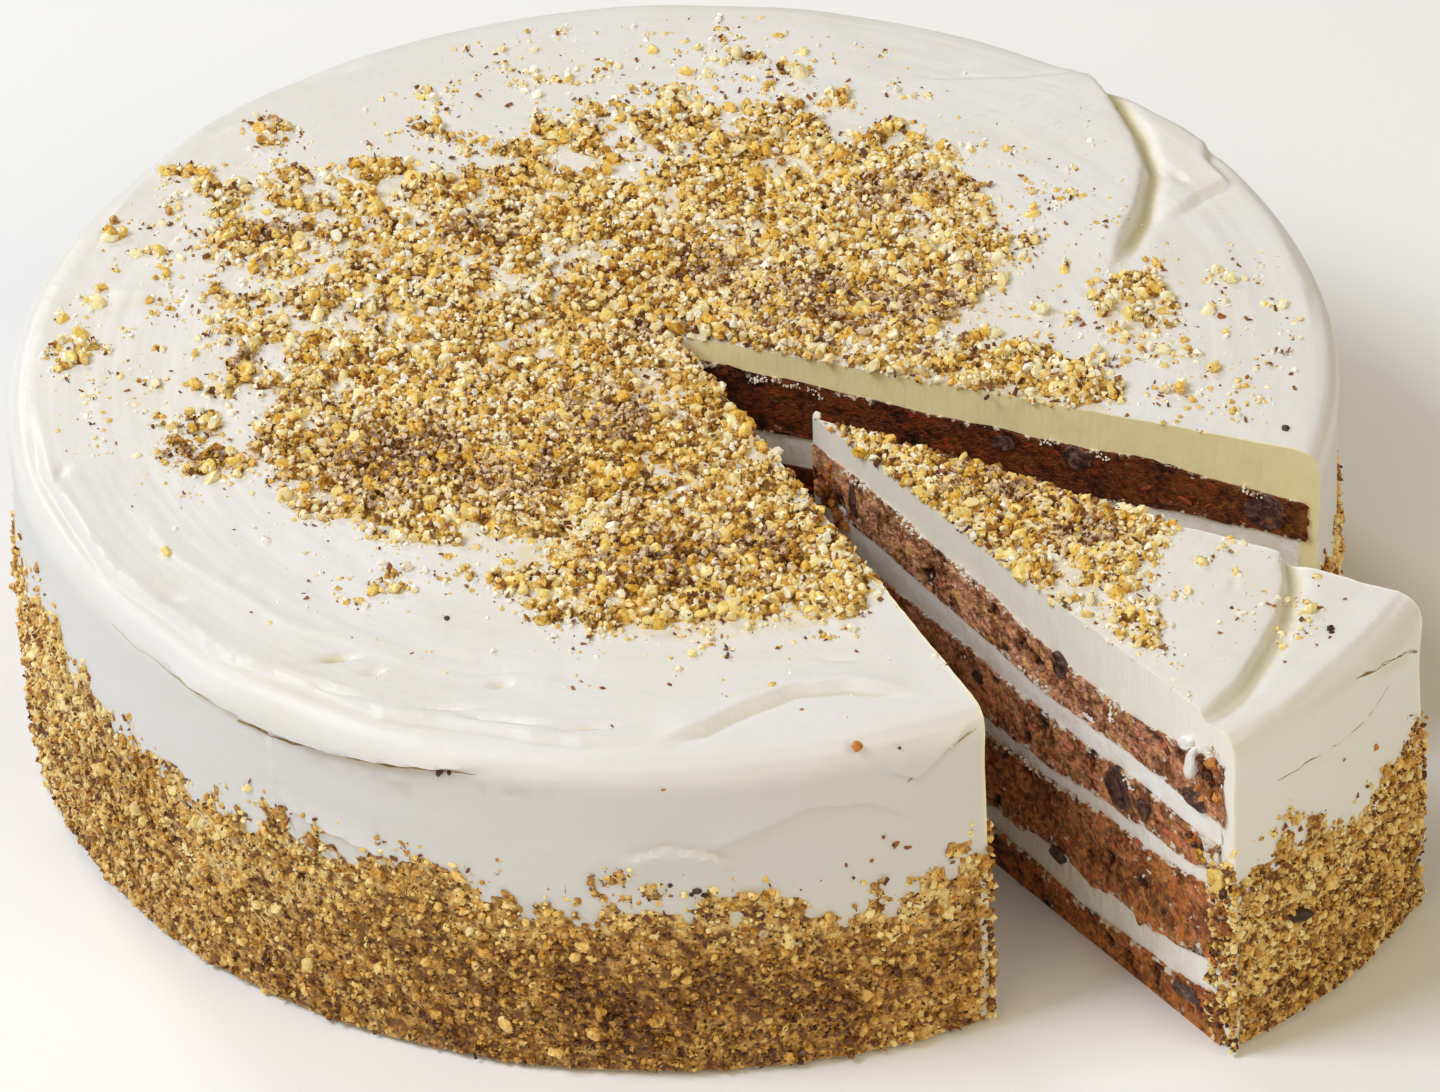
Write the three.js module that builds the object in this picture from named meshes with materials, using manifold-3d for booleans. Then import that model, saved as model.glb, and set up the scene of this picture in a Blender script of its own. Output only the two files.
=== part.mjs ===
// Carrot cake with one slice drawn partly out of its cut.
//
// Four layers of sponge carry three bands of filling between them, and one coat of icing covers
// their top and side. Chopped nuts are pressed into the lower part of the coat and scattered over
// the top. The slice is built the same way, round its own tip.
//
// Millimetres, +Z up. The origin is on the cake's axis, where its underside rests. Angles are in
// degrees from +X towards +Y, so -90 is the front.

import * as THREE from 'three';
import { mergeVertices } from 'three/addons/utils/BufferGeometryUtils.js';
import Module from 'manifold-3d';

// --- Driving dimensions ------------------------------------------------------------------------

const HEIGHT = 72.3;            // from the underside to the plateau of the icing
const SPONGE_RADIUS = 123.5;
const COAT = 4;                 // thickness of the icing on the side
const NUT_BAND = 3;             // how far the pressed nuts stand out from the side
const NUT_BAND_TOP = 43;        // height of the band's upper edge
const COAT_FOOT = 1;            // the coat ends this far above the underside
const FIT = 0.35;               // clearance between touching pieces

const CAKE = {
  name: '',
  apex: new THREE.Vector2(1.2, 6.5),
  from: -20.6,                  // right face of the cut
  to: 294.9,                    // left face of the cut
  layerSteps: 30,
  coatSteps: 60,
  topNuts: { count: 84, spacing: 13, sizes: [6.4, 4.2] },
  sideNuts: { count: 88, spacing: 14, sizes: [7.4, 4.6] },
};

const SLICE = {
  name: 'slice_',
  apex: new THREE.Vector2(26.7, -21.7),
  from: -54.4,
  to: -29.3,
  layerSteps: 3,
  coatSteps: 6,
  topNuts: { count: 14, spacing: 9, sizes: [6.2, 4.2] },
  sideNuts: { count: 11, spacing: 11, sizes: [7.0, 4.6] },
};

// Heights of each layer's upper surface at these shares of the sponge's radius. The layers sag
// under the icing between the middle and the rim.
const STATIONS = [0, 0.4, 0.75, 1];
const LAYERS = [
  { kind: 'sponge', number: 1, upper: [8.5, 8.0, 8.5, 10.5] },
  { kind: 'filling', number: 1, upper: [15.0, 14.5, 14.0, 17.5] },
  { kind: 'sponge', number: 2, upper: [29.5, 29.7, 31.3, 34.3] },
  { kind: 'filling', number: 2, upper: [33.0, 32.8, 34.8, 37.8] },
  { kind: 'sponge', number: 3, upper: [47.0, 46.6, 45.8, 45.6] },
  { kind: 'filling', number: 3, upper: [54.0, 52.5, 50.8, 51.0] },
  { kind: 'sponge', number: 4, upper: [66.5, 65.0, 61.5, 64.8] },
];

const COLOURS = {
  sponge: 0x8a5f45,
  filling: 0xf1eee2,
  icing: 0xf0eee4,
};

// --- Small helpers -----------------------------------------------------------------------------

const wasm = await Module();
wasm.setup();

const radians = THREE.MathUtils.degToRad;
const lerp = THREE.MathUtils.lerp;
const smooth = THREE.MathUtils.smoothstep;

// A bump of height 1 at `centre` that fades over `width` on both sides.
const bump = (value, centre, width) => Math.exp(-(((value - centre) / width) ** 2));

// A bump over an angle, which may pass through 180 degrees.
function lobe(angle, centre, width) {
  const turn = THREE.MathUtils.euclideanModulo(angle - centre + 180, 360) - 180;
  return bump(turn, 0, width);
}

// A seeded stream of numbers from 0 to 1.
function randomStream(seed) {
  let state = seed;
  return () => {
    state = (state + 0x6d2b79f5) | 0;
    let mixed = Math.imul(state ^ (state >>> 15), 1 | state);
    mixed = (mixed + Math.imul(mixed ^ (mixed >>> 7), 61 | mixed)) ^ mixed;
    return ((mixed ^ (mixed >>> 14)) >>> 0) / 4294967296;
  };
}

// Merges shared vertices and drops the triangles that a collapsed edge leaves without area.
function closeUp(geometry) {
  geometry.deleteAttribute('normal');
  geometry.deleteAttribute('uv');
  const merged = mergeVertices(geometry, 1e-3);
  const corners = merged.index.array;
  const kept = [];
  for (let i = 0; i < corners.length; i += 3) {
    const [a, b, c] = corners.slice(i, i + 3);
    if (a !== b && b !== c && c !== a) {
      kept.push(a, b, c);
    }
  }
  merged.setIndex(kept);
  return merged;
}

function toSolid(geometry) {
  return new wasm.Manifold(new wasm.Mesh({
    numProp: 3,
    vertProperties: new Float32Array(geometry.getAttribute('position').array),
    triVerts: new Uint32Array(geometry.index.array),
  }));
}

function toGeometry(solid) {
  const mesh = solid.getMesh();
  const geometry = new THREE.BufferGeometry();
  geometry.setAttribute('position', new THREE.BufferAttribute(mesh.vertProperties, mesh.numProp));
  geometry.setIndex(new THREE.BufferAttribute(mesh.triVerts, 1));
  return geometry;
}

// --- How the cake leaves its true form ---------------------------------------------------------

// The icing's plateau, in millimetres above or below HEIGHT: a lip that the spatula pushed up
// along the front edge, a step round the right side and a broad, shallow swell.
function plateauRelief(x, y) {
  const radius = Math.hypot(x, y);
  const angle = THREE.MathUtils.radToDeg(Math.atan2(y, x));
  const lip = 1.3 * bump(radius, 117, 5) * lobe(angle, -140, 55);
  const step = 1.1 * (1 - smooth(radius, 92, 99)) * lobe(angle, 32, 32);
  const swell = 0.5 * Math.sin(x / 31 + 0.6) * Math.cos(y / 37);
  return lip + step + swell;
}

// Layers run a little up and down as they go round, most of all half way up and at the rim.
function layerSway(radius, height, angle) {
  const share = radius / SPONGE_RADIUS;
  return 0.8 * share * Math.sin((Math.PI * height) / HEIGHT) * Math.sin(3 * angle + height / 9);
}

// Height of the nut band's ragged upper edge, at an angle round the cake.
function nutBandTop(angle) {
  const degrees = THREE.MathUtils.radToDeg(angle);
  return NUT_BAND_TOP + 11 * lobe(degrees, -163, 14) + 3 * lobe(degrees, -116, 5)
    + 1.6 * Math.sin(11 * angle) + 1.2 * Math.sin(23 * angle + 1);
}

// Distance from a piece's apex to the rim of its sponge, along an angle. The main cake's apex is
// beside the cake's axis, and a slice's tip is the centre of its own arc.
function reach(piece, angle) {
  if (piece === SLICE) {
    return SPONGE_RADIUS;
  }
  const along = piece.apex.x * Math.cos(angle) + piece.apex.y * Math.sin(angle);
  return Math.sqrt(along ** 2 + SPONGE_RADIUS ** 2 - piece.apex.lengthSq()) - along;
}

// Where a point of the section lands: `radius` runs out from the apex, and `angle` is round it.
function place(piece, radius, height, angle) {
  const stretch = reach(piece, angle) / SPONGE_RADIUS;
  const x = piece.apex.x + radius * stretch * Math.cos(angle);
  const y = piece.apex.y + radius * stretch * Math.sin(angle);
  const topShare = smooth(height, 67.5, HEIGHT);
  let z = height + layerSway(radius, height, angle) * (1 - topShare);
  z += plateauRelief(x, y) * topShare;
  if (radius > SPONGE_RADIUS + FIT) {
    z += (nutBandTop(angle) - NUT_BAND_TOP) * bump(height, NUT_BAND_TOP, 14);
  }
  return new THREE.Vector3(x, y, z);
}

// --- Solids swept round an apex ----------------------------------------------------------------

// Sweeps a section (x is the distance from the apex, y is the height) round a piece's apex.
function sweep(piece, section, steps) {
  const outline = new THREE.Shape(section.map(([radius, height]) => new THREE.Vector2(radius, height)));
  const geometry = new THREE.ExtrudeGeometry(outline, { depth: 1, steps, bevelEnabled: false });
  const points = geometry.getAttribute('position');
  for (let i = 0; i < points.count; i += 1) {
    const angle = radians(lerp(piece.to, piece.from, points.getZ(i)));
    const landed = place(piece, points.getX(i), points.getY(i), angle);
    points.setXYZ(i, landed.x, landed.y, landed.z);
  }
  return closeUp(geometry);
}

// One surface between layers, from the middle outwards, raised by `lift`.
function surface(heights, lift) {
  return STATIONS.map((share, i) => [share * SPONGE_RADIUS, heights[i] + lift]);
}

function layerGeometry(piece, index) {
  const base = index === 0
    ? surface([0, 0, 0, 0], 0)
    : surface(LAYERS[index - 1].upper, FIT / 2);
  const upper = surface(LAYERS[index].upper, -FIT / 2);
  return sweep(piece, [...base, ...upper.reverse()], piece.layerSteps);
}

// The coat's outer face, from the middle of the plateau to the foot of the side.
function coatFace() {
  const plain = SPONGE_RADIUS + COAT;
  const banded = plain + NUT_BAND;
  return [
    [0, HEIGHT],
    [45, HEIGHT],
    [80, HEIGHT],
    [93, HEIGHT],
    [100, HEIGHT],
    [110, HEIGHT],
    [117, HEIGHT],
    [plain - 3.6, HEIGHT - 0.5],
    [plain - 1.0, HEIGHT - 2.2],
    [plain, HEIGHT - 5],
    [plain - 0.2, 58],
    [plain + 0.6, NUT_BAND_TOP + 3],
    [banded, NUT_BAND_TOP - 1],
    [banded + 0.3, 26],
    [banded, 9],
    [banded - 1.2, COAT_FOOT],
  ];
}

function coatGeometry(piece) {
  const inner = surface(LAYERS.at(-1).upper, FIT / 2).slice(0, -1);
  const wall = SPONGE_RADIUS + FIT;
  const corner = LAYERS.at(-1).upper.at(-1) + FIT / 2;
  const lining = [[wall, COAT_FOOT], [wall, corner], ...inner.reverse()];
  return sweep(piece, [...coatFace(), ...lining], piece.coatSteps);
}

// --- Chopped nuts ------------------------------------------------------------------------------

// How far the scatter on top reaches from the middle: a round patch with two spurs.
function scatterReach(angle) {
  return 80 + 27 * lobe(angle, 141, 20) + 20 * lobe(angle, 76, 28) + 9 * lobe(angle, -66, 22);
}

function onScatter(x, y) {
  const angle = THREE.MathUtils.radToDeg(Math.atan2(y, x));
  const inPatch = Math.hypot(x, y) < scatterReach(angle);
  const inSideCluster = Math.hypot(x - 91, y - 12) < 13 || Math.hypot(x + 113, y - 5) < 9;
  return inPatch || inSideCluster;
}

// Distance of a point, given round the apex, from the nearer face of the cut.
function fromCut(piece, radius, angle) {
  const near = Math.min(radians(piece.to) - angle, angle - radians(piece.from));
  return near > Math.PI / 2 ? radius : radius * Math.sin(near);
}

function topSpot(piece, random) {
  const radius = 112 * Math.sqrt(random());
  const angle = radians(lerp(piece.from, piece.to, random()));
  const spot = place(piece, radius, HEIGHT, angle);
  const scattered = piece === SLICE ? radius < 88 : onScatter(spot.x, spot.y);
  return { spot, allowed: scattered && fromCut(piece, radius, angle) > 4.5 };
}

function sideSpot(piece, random) {
  const radius = SPONGE_RADIUS + COAT + NUT_BAND;
  const angle = radians(lerp(piece.from, piece.to, random()));
  const spot = place(piece, radius, lerp(6, NUT_BAND_TOP - 3, random()), angle);
  return { spot, allowed: fromCut(piece, radius, angle) > 5.5 };
}

// Draws spots until `count` of them keep `spacing` apart, and gives up after many misses.
function spread(piece, nuts, drawSpot, random) {
  const spots = [];
  for (let tries = 0; spots.length < nuts.count && tries < 6000; tries += 1) {
    const { spot, allowed } = drawSpot(piece, random);
    if (allowed && spots.every((other) => other.distanceTo(spot) > nuts.spacing)) {
      spots.push(spot);
    }
  }
  return spots;
}

// A chip of nut: a twenty-sided lump, longer than it is thick, turned at random.
function nutChip(spot, size, random) {
  const chip = closeUp(new THREE.IcosahedronGeometry(size / 2, 0));
  const turn = new THREE.Euler(random() * 6.28, random() * 6.28, random() * 6.28);
  const proportions = new THREE.Vector3(1, lerp(0.65, 0.95, random()), lerp(0.5, 0.8, random()));
  chip.applyMatrix4(new THREE.Matrix4().compose(
    spot,
    new THREE.Quaternion().setFromEuler(turn),
    proportions,
  ));
  return toSolid(chip);
}

function nutChips(piece, nuts, drawSpot, seed) {
  const random = randomStream(seed);
  const [largest, smallest] = nuts.sizes;
  return spread(piece, nuts, drawSpot, random).map((spot, i, all) => {
    const size = lerp(largest, smallest, i / all.length);
    return nutChip(spot, size, random);
  });
}

// --- Assembly ----------------------------------------------------------------------------------

function part(name, geometry, colour, roughness) {
  const material = new THREE.MeshStandardMaterial({ color: colour, roughness, metalness: 0 });
  const mesh = new THREE.Mesh(geometry, material);
  mesh.name = name;
  return mesh;
}

function layerPart(piece, index) {
  const { kind, number } = LAYERS[index];
  const roughness = kind === 'sponge' ? 0.95 : 0.6;
  return part(`${piece.name}${kind}_${number}`, layerGeometry(piece, index), COLOURS[kind], roughness);
}

function icingPart(piece, seed) {
  const coat = toSolid(coatGeometry(piece));
  const onTop = nutChips(piece, piece.topNuts, topSpot, seed);
  const onSide = nutChips(piece, piece.sideNuts, sideSpot, seed + 1);
  const iced = wasm.Manifold.union([coat, ...onTop, ...onSide]);
  return part(`${piece.name}icing`, toGeometry(iced), COLOURS.icing, 0.55);
}

function iced(piece, seed) {
  const group = new THREE.Group();
  LAYERS.forEach((layer, index) => group.add(layerPart(piece, index)));
  group.add(icingPart(piece, seed));
  return group;
}

const cake = new THREE.Group();
cake.add(iced(CAKE, 11));
cake.add(iced(SLICE, 37));

export default cake;
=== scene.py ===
"""Carrot cake with a slice drawn partly out of its cut, dressed round its CAD frame.

Sizes are in millimetres until a mesh is written, and angles are in degrees from +X towards +Y, seen
from above. The cake's axis is the origin, and the camera looks along +Y.
"""
import logging
import math
from collections.abc import Callable, Iterable, Sequence
from dataclasses import dataclass
from enum import Enum

import bpy
import numpy as np
from mathutils import Matrix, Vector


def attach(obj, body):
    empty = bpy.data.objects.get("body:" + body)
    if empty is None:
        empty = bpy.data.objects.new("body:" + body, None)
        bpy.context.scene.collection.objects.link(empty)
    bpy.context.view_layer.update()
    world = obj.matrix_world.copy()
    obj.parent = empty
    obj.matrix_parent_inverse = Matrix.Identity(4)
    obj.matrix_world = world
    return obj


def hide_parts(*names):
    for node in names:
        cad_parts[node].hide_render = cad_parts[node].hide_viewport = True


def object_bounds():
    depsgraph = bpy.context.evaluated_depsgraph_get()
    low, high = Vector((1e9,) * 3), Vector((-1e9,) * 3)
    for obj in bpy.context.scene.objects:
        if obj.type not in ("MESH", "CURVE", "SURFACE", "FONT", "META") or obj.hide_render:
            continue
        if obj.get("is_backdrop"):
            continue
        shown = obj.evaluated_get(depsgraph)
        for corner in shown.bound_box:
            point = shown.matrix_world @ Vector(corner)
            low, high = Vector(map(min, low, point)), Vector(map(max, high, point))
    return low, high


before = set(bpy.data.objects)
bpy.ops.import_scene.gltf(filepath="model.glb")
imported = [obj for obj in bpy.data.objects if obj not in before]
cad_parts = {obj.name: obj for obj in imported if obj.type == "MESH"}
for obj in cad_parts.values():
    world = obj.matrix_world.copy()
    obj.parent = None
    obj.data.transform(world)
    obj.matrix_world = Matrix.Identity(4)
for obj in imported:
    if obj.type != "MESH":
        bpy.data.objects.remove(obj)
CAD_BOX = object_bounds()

LOG = logging.getLogger("carrot_cake")
METRES = 0.001
BODY = "root"

# The cake's height and the radius of its sponge, and how thick the frosting round that is.
HEIGHT = 72.3
SPONGE_RADIUS = 123.5
COAT = 4.0
WALL = SPONGE_RADIUS + COAT
# Heights of the nut band's upper edge and of the coat's lower edge.
NUT_BAND_TOP = 43.0
COAT_FOOT = 1.0
# Room left between the sponge and its coat.
FIT = 0.35
# How far out nuts lie on the plateau, and the highest that they reach.
NUT_REACH = 121.0
CEILING = 75.4
# How many shapes of chip are modelled for each kind, and how many places are tried at a time.
SHAPES = 12
BATCH = 20000
# How thickly chips stray above the band.
STRAY = 0.012

Array = np.ndarray
Piece = bpy.types.Object
Tree = bpy.types.NodeTree
Socket = bpy.types.NodeSocket


# --- Noise and small numeric helpers ---

def hashed(cells: Array, seed: int) -> Array:
    """Gives each integer cell three random numbers from 0 to 1.

    Args:
        cells: Integer coordinates, shaped (..., 3).
        seed: Picks the stream.

    Returns:
        Numbers shaped (..., 3).
    """
    whole = cells.astype(np.int64)
    mixed = whole[..., 0] * 73856093 ^ whole[..., 1] * 19349663 ^ whole[..., 2] * 83492791
    mixed = (mixed ^ (seed * 2654435761)) & 0xFFFFFFFF
    numbers = []
    for turn in range(3):
        mixed = ((mixed ^ (mixed >> 16)) * 0x45D9F3B + turn) & 0xFFFFFFFF
        mixed = mixed ^ (mixed >> 13)
        numbers.append((mixed & 0xFFFFFF) / 0xFFFFFF)
    return np.stack(numbers, axis=-1)


def lumps(points: Array, size: float | Sequence[float], seed: int) -> Array:
    """Smooth noise from -1 to 1.

    Args:
        points: Places in millimetres, shaped (n, 3).
        size: Lump size in millimetres, one number or one for each axis.
        seed: Picks the pattern.

    Returns:
        One number for each place.
    """
    scaled = points / np.asarray(size)
    base = np.floor(scaled)
    part = scaled - base
    part = part * part * (3 - 2 * part)
    total = np.zeros(len(points))
    for corner in np.ndindex(2, 2, 2):
        step = np.array(corner)
        weight = np.prod(np.where(step == 1, part, 1 - part), axis=-1)
        total += weight * hashed(base + step, seed)[..., 0]
    return total * 2 - 1


def grains(points: Array, size: float, seed: int) -> tuple[Array, Array]:
    """Cell noise, such as packed crumbs.

    Args:
        points: Places in millimetres, shaped (n, 3).
        size: Grain size in millimetres.
        seed: Picks the pattern.

    Returns:
        The distance to the nearest grain's middle, in grain sizes, and that grain's own tone.
    """
    scaled = points / size
    base = np.floor(scaled)
    nearest = np.full(len(points), 9.0)
    tone = np.zeros(len(points))
    for corner in np.ndindex(3, 3, 3):
        cell = base + np.array(corner) - 1
        middle = cell + hashed(cell, seed)
        distance = np.linalg.norm(scaled - middle, axis=-1)
        closer = distance < nearest
        nearest = np.where(closer, distance, nearest)
        tone = np.where(closer, hashed(cell, seed + 7)[..., 1], tone)
    return nearest, tone


def smooth(value: Array, low: float, high: float) -> Array:
    """Goes smoothly from 0 at `low` to 1 at `high`."""
    share = np.clip((value - low) / (high - low), 0, 1)
    return share * share * (3 - 2 * share)


def bump(value: Array, centre: float, width: float) -> Array:
    """A bump of height 1 at `centre` that fades over `width`."""
    return np.exp(-(((value - centre) / width) ** 2))


def lobe(angle: Array, centre: float, width: float) -> Array:
    """A bump over an angle in degrees, which may pass through 180."""
    return bump((angle - centre + 180) % 360 - 180, 0, width)


def spaced(*runs: tuple[float, float, float]) -> Array:
    """Joins runs of evenly spaced numbers.

    Args:
        runs: Each run's start, end and rough step.

    Returns:
        All the numbers, with no number twice where two runs meet.
    """
    pieces = [np.linspace(a, b, max(2, round(abs(b - a) / step) + 1)) for a, b, step in runs]
    joined = pieces[0]
    for piece in pieces[1:]:
        joined = np.concatenate([joined, piece[1:]])
    return joined


def at_level(x: Array, y: Array, level: float = 0.0) -> Array:
    """Places in a level plane, shaped (n, 3)."""
    return np.stack([x, y, np.full_like(x, level)], axis=-1)


def oval(x: Array, y: Array, centre: tuple[float, float], degrees: float) -> tuple[Array, Array]:
    """Distances from a centre along the two axes of an oval that is turned by an angle."""
    turn = math.radians(degrees)
    dx, dy = x - centre[0], y - centre[1]
    return dx * math.cos(turn) + dy * math.sin(turn), dy * math.cos(turn) - dx * math.sin(turn)


def measured(corners: Array) -> Array:
    """How far each corner of a path lies from its start, along the path."""
    return np.concatenate([[0], np.cumsum(np.linalg.norm(np.diff(corners, axis=0), axis=1))])


def outward(angle: Array) -> Array:
    """Unit vectors that point out of the wall at angles in radians."""
    return np.stack([np.cos(angle), np.sin(angle), np.zeros_like(angle)], axis=-1)


def gather(attempt: Callable[[], Array], count: int) -> Array:
    """Repeats an attempt until there are enough rows.

    Args:
        attempt: Gives some rows, more or fewer each time.
        count: How many rows are wanted.

    Returns:
        That many rows.
    """
    found = [attempt()]
    while sum(len(rows) for rows in found) < count:
        found.append(attempt())
    return np.concatenate(found)[:count]


# --- Mesh helpers ---

def select_nothing() -> None:
    """Leaves no object selected, so that an operator acts on the new piece alone."""
    bpy.ops.object.select_all(action="DESELECT")


def select_only(*pieces: Piece) -> None:
    """Selects some pieces alone, the first of them active."""
    select_nothing()
    for piece in pieces:
        piece.select_set(True)
    bpy.context.view_layer.objects.active = pieces[0]


def read_points(piece: Piece) -> Array:
    """A piece's vertices, shaped (n, 3), in the units that its mesh holds."""
    points = np.empty(len(piece.data.vertices) * 3, np.float32)
    piece.data.vertices.foreach_get("co", points)
    return points.reshape(-1, 3).astype(float)


def write_points(piece: Piece, points: Array) -> None:
    """Moves a piece's vertices to places given in millimetres."""
    piece.data.vertices.foreach_set("co", (points * METRES).astype(np.float32).ravel())
    piece.data.update()


def write_attribute(piece: Piece, name: str, values: Array) -> None:
    """Stores one number for each vertex, for the piece's material to read."""
    layer = piece.data.attributes.new(name, "FLOAT", "POINT")
    layer.data.foreach_set("value", values.astype(np.float32))


def write_vectors(piece: Piece, name: str, values: Array) -> None:
    """Stores a vector for each vertex, such as a direction that a pattern follows."""
    layer = piece.data.attributes.new(name, "FLOAT_VECTOR", "POINT")
    layer.data.foreach_set("vector", values.astype(np.float32).ravel())


def select_edges(piece: Piece, chosen: Array) -> None:
    """Selects some edges alone, ready for edit mode.

    Args:
        piece: The piece whose edges they are.
        chosen: For each edge, whether it is selected.
    """
    select_only(piece)
    bpy.context.tool_settings.mesh_select_mode = (False, True, False)
    piece.data.vertices.foreach_set("select", np.zeros(len(piece.data.vertices), bool))
    piece.data.polygons.foreach_set("select", np.zeros(len(piece.data.polygons), bool))
    piece.data.edges.foreach_set("select", chosen)


def grid_block(
    name: str,
    cuts: tuple[int, int, int],
    hidden: Iterable[tuple[int, int]] = (),
    keep_every: tuple[int, int, int] = (1, 1, 1),
) -> Piece:
    """Makes a unit cube, one corner at the origin, cut into a grid.

    Args:
        name: The piece's name.
        cuts: How many cells it has along X, Y and Z.
        hidden: Sides that nothing shows, as (axis, 0 or 1), which are left coarse.
        keep_every: On the hidden sides, one cut in how many stays, along X, Y and Z.

    Returns:
        The block.
    """
    select_nothing()
    bpy.ops.mesh.primitive_cube_add(size=1, location=(0.5, 0.5, 0.5))
    piece = bpy.context.object
    piece.name = name
    bpy.ops.object.transform_apply(location=True, rotation=False, scale=False)
    for axis in np.argsort(cuts):
        if cuts[axis] < 2:
            continue
        begin, end = edge_ends(piece)
        select_edges(piece, np.abs(begin - end)[:, axis] > 0.5)
        bpy.ops.object.mode_set(mode="EDIT")
        bpy.ops.mesh.subdivide_edgering(number_cuts=int(cuts[axis]) - 1, interpolation="LINEAR")
        bpy.ops.object.mode_set(mode="OBJECT")
    begin, end = edge_ends(piece)
    spare = np.zeros(len(begin), bool)
    for side, at_end in hidden:
        on_side = (begin[:, side] == at_end) & (end[:, side] == at_end)
        for axis in set(range(3)) - {side}:
            line = np.rint(begin[:, axis] * cuts[axis]).astype(int)
            crosses = np.isclose(begin[:, axis], end[:, axis], atol=1e-6)
            inner = (line > 0) & (line < cuts[axis])
            spare |= on_side & crosses & inner & (line % keep_every[axis] != 0)
    if spare.any():
        select_edges(piece, spare)
        bpy.ops.object.mode_set(mode="EDIT")
        bpy.ops.mesh.dissolve_edges(use_verts=True)
        bpy.ops.object.mode_set(mode="OBJECT")
    return piece


def edge_ends(piece: Piece) -> tuple[Array, Array]:
    """The places of both ends of every edge."""
    ends = np.empty(len(piece.data.edges) * 2, np.int32)
    piece.data.edges.foreach_get("vertices", ends)
    points = read_points(piece)
    return points[ends[0::2]], points[ends[1::2]]


def grid_places(piece: Piece, *scales: Array) -> list[Array]:
    """Reads where a grid block's vertices lie as values.

    Args:
        piece: A grid block that nothing has moved yet.
        scales: For each axis, a value for every line of the grid.

    Returns:
        For each axis, the value at each vertex.
    """
    points = read_points(piece)
    places = []
    for axis, scale in enumerate(scales):
        index = np.rint(points[:, axis] * (len(scale) - 1)).astype(int)
        places.append(scale[index])
    return places


def weld(piece: Piece) -> None:
    """Merges vertices that a collapsed edge has brought together, and turns the faces outwards."""
    select_only(piece)
    bpy.ops.object.mode_set(mode="EDIT")
    bpy.ops.mesh.select_all(action="SELECT")
    bpy.ops.mesh.remove_doubles(threshold=2e-6)
    bpy.ops.mesh.normals_make_consistent(inside=False)
    bpy.ops.object.mode_set(mode="OBJECT")


def dress(piece: Piece, sharp_above: float, finish: "Finish", slot: str, *nodes: str) -> None:
    """Gives a piece its shading, its finish and its body, and hides the CAD nodes that it stands for.

    Args:
        piece: The piece, whose shape is done.
        sharp_above: Edges sharper than this angle in degrees aren't smoothed.
        finish: What it is made of.
        slot: A material slot of the record; not used.
        nodes: The CAD nodes that it stands for.
    """
    select_only(piece)
    bpy.ops.object.shade_smooth_by_angle(angle=math.radians(sharp_above))
    piece.data.materials.clear()
    piece.data.materials.append(finish.material())
    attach(piece, BODY)
    if nodes:
        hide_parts(*nodes)
    LOG.info("%s: %d faces", piece.name, len(piece.data.polygons))


# --- Finishes ---

def linear(colour: str) -> tuple[float, float, float, float]:
    """Turns an sRGB hex colour into linear red, green, blue and alpha."""
    parts = [int(colour[i:i + 2], 16) / 255 for i in (0, 2, 4)]
    red, green, blue = (p / 12.92 if p <= 0.04045 else ((p + 0.055) / 1.055) ** 2.4 for p in parts)
    return red, green, blue, 1.0


def add_node(
    tree: Tree,
    kind: str,
    settings: dict[str, object] | None = None,
    inputs: dict[str | int, object] | None = None,
    out: str | int = 0,
) -> Socket:
    """Adds a shader node with its settings and links.

    Args:
        tree: The material's node tree.
        kind: The node's type, such as "Math".
        settings: Properties to set on the node. The "stops" of a ramp are pairs of place and sRGB hex.
        inputs: For each input socket, a value, or an output socket to link.
        out: The output socket to give back.

    Returns:
        That output socket.
    """
    node = tree.nodes.new(f"ShaderNode{kind}")
    for key, value in (settings or {}).items():
        if key == "stops":
            elements = node.color_ramp.elements
            while len(elements) < len(value):
                elements.new(0.5)
            for element, (place, colour) in zip(elements, value):
                element.position, element.color = place, linear(colour)
        else:
            setattr(node, key, value)
    for key, value in (inputs or {}).items():
        if isinstance(value, Socket):
            tree.links.new(value, node.inputs[key])
        else:
            node.inputs[key].default_value = value
    return node.outputs[out]


# A height from 0 to 1, and the depth in millimetres that it stands for (below nought to turn it over).
Relief = tuple[Socket, float]
# A finish's colour and its relief, coarse to fine.
Painted = tuple[Socket, list[Relief]]
# Places on a ramp, each with its colour.
Stops = tuple[tuple[float, str], ...]
# Settings that many nodes share: a mix of two colours, a product, and a product with a term added.
RGBA = {"data_type": "RGBA"}
PRODUCT = {"operation": "MULTIPLY"}
SUM = {"operation": "MULTIPLY_ADD"}
# Drag lines stand upright, so their noise is drawn out along Z.
UPRIGHT = (1, 1, 0.12)


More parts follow.
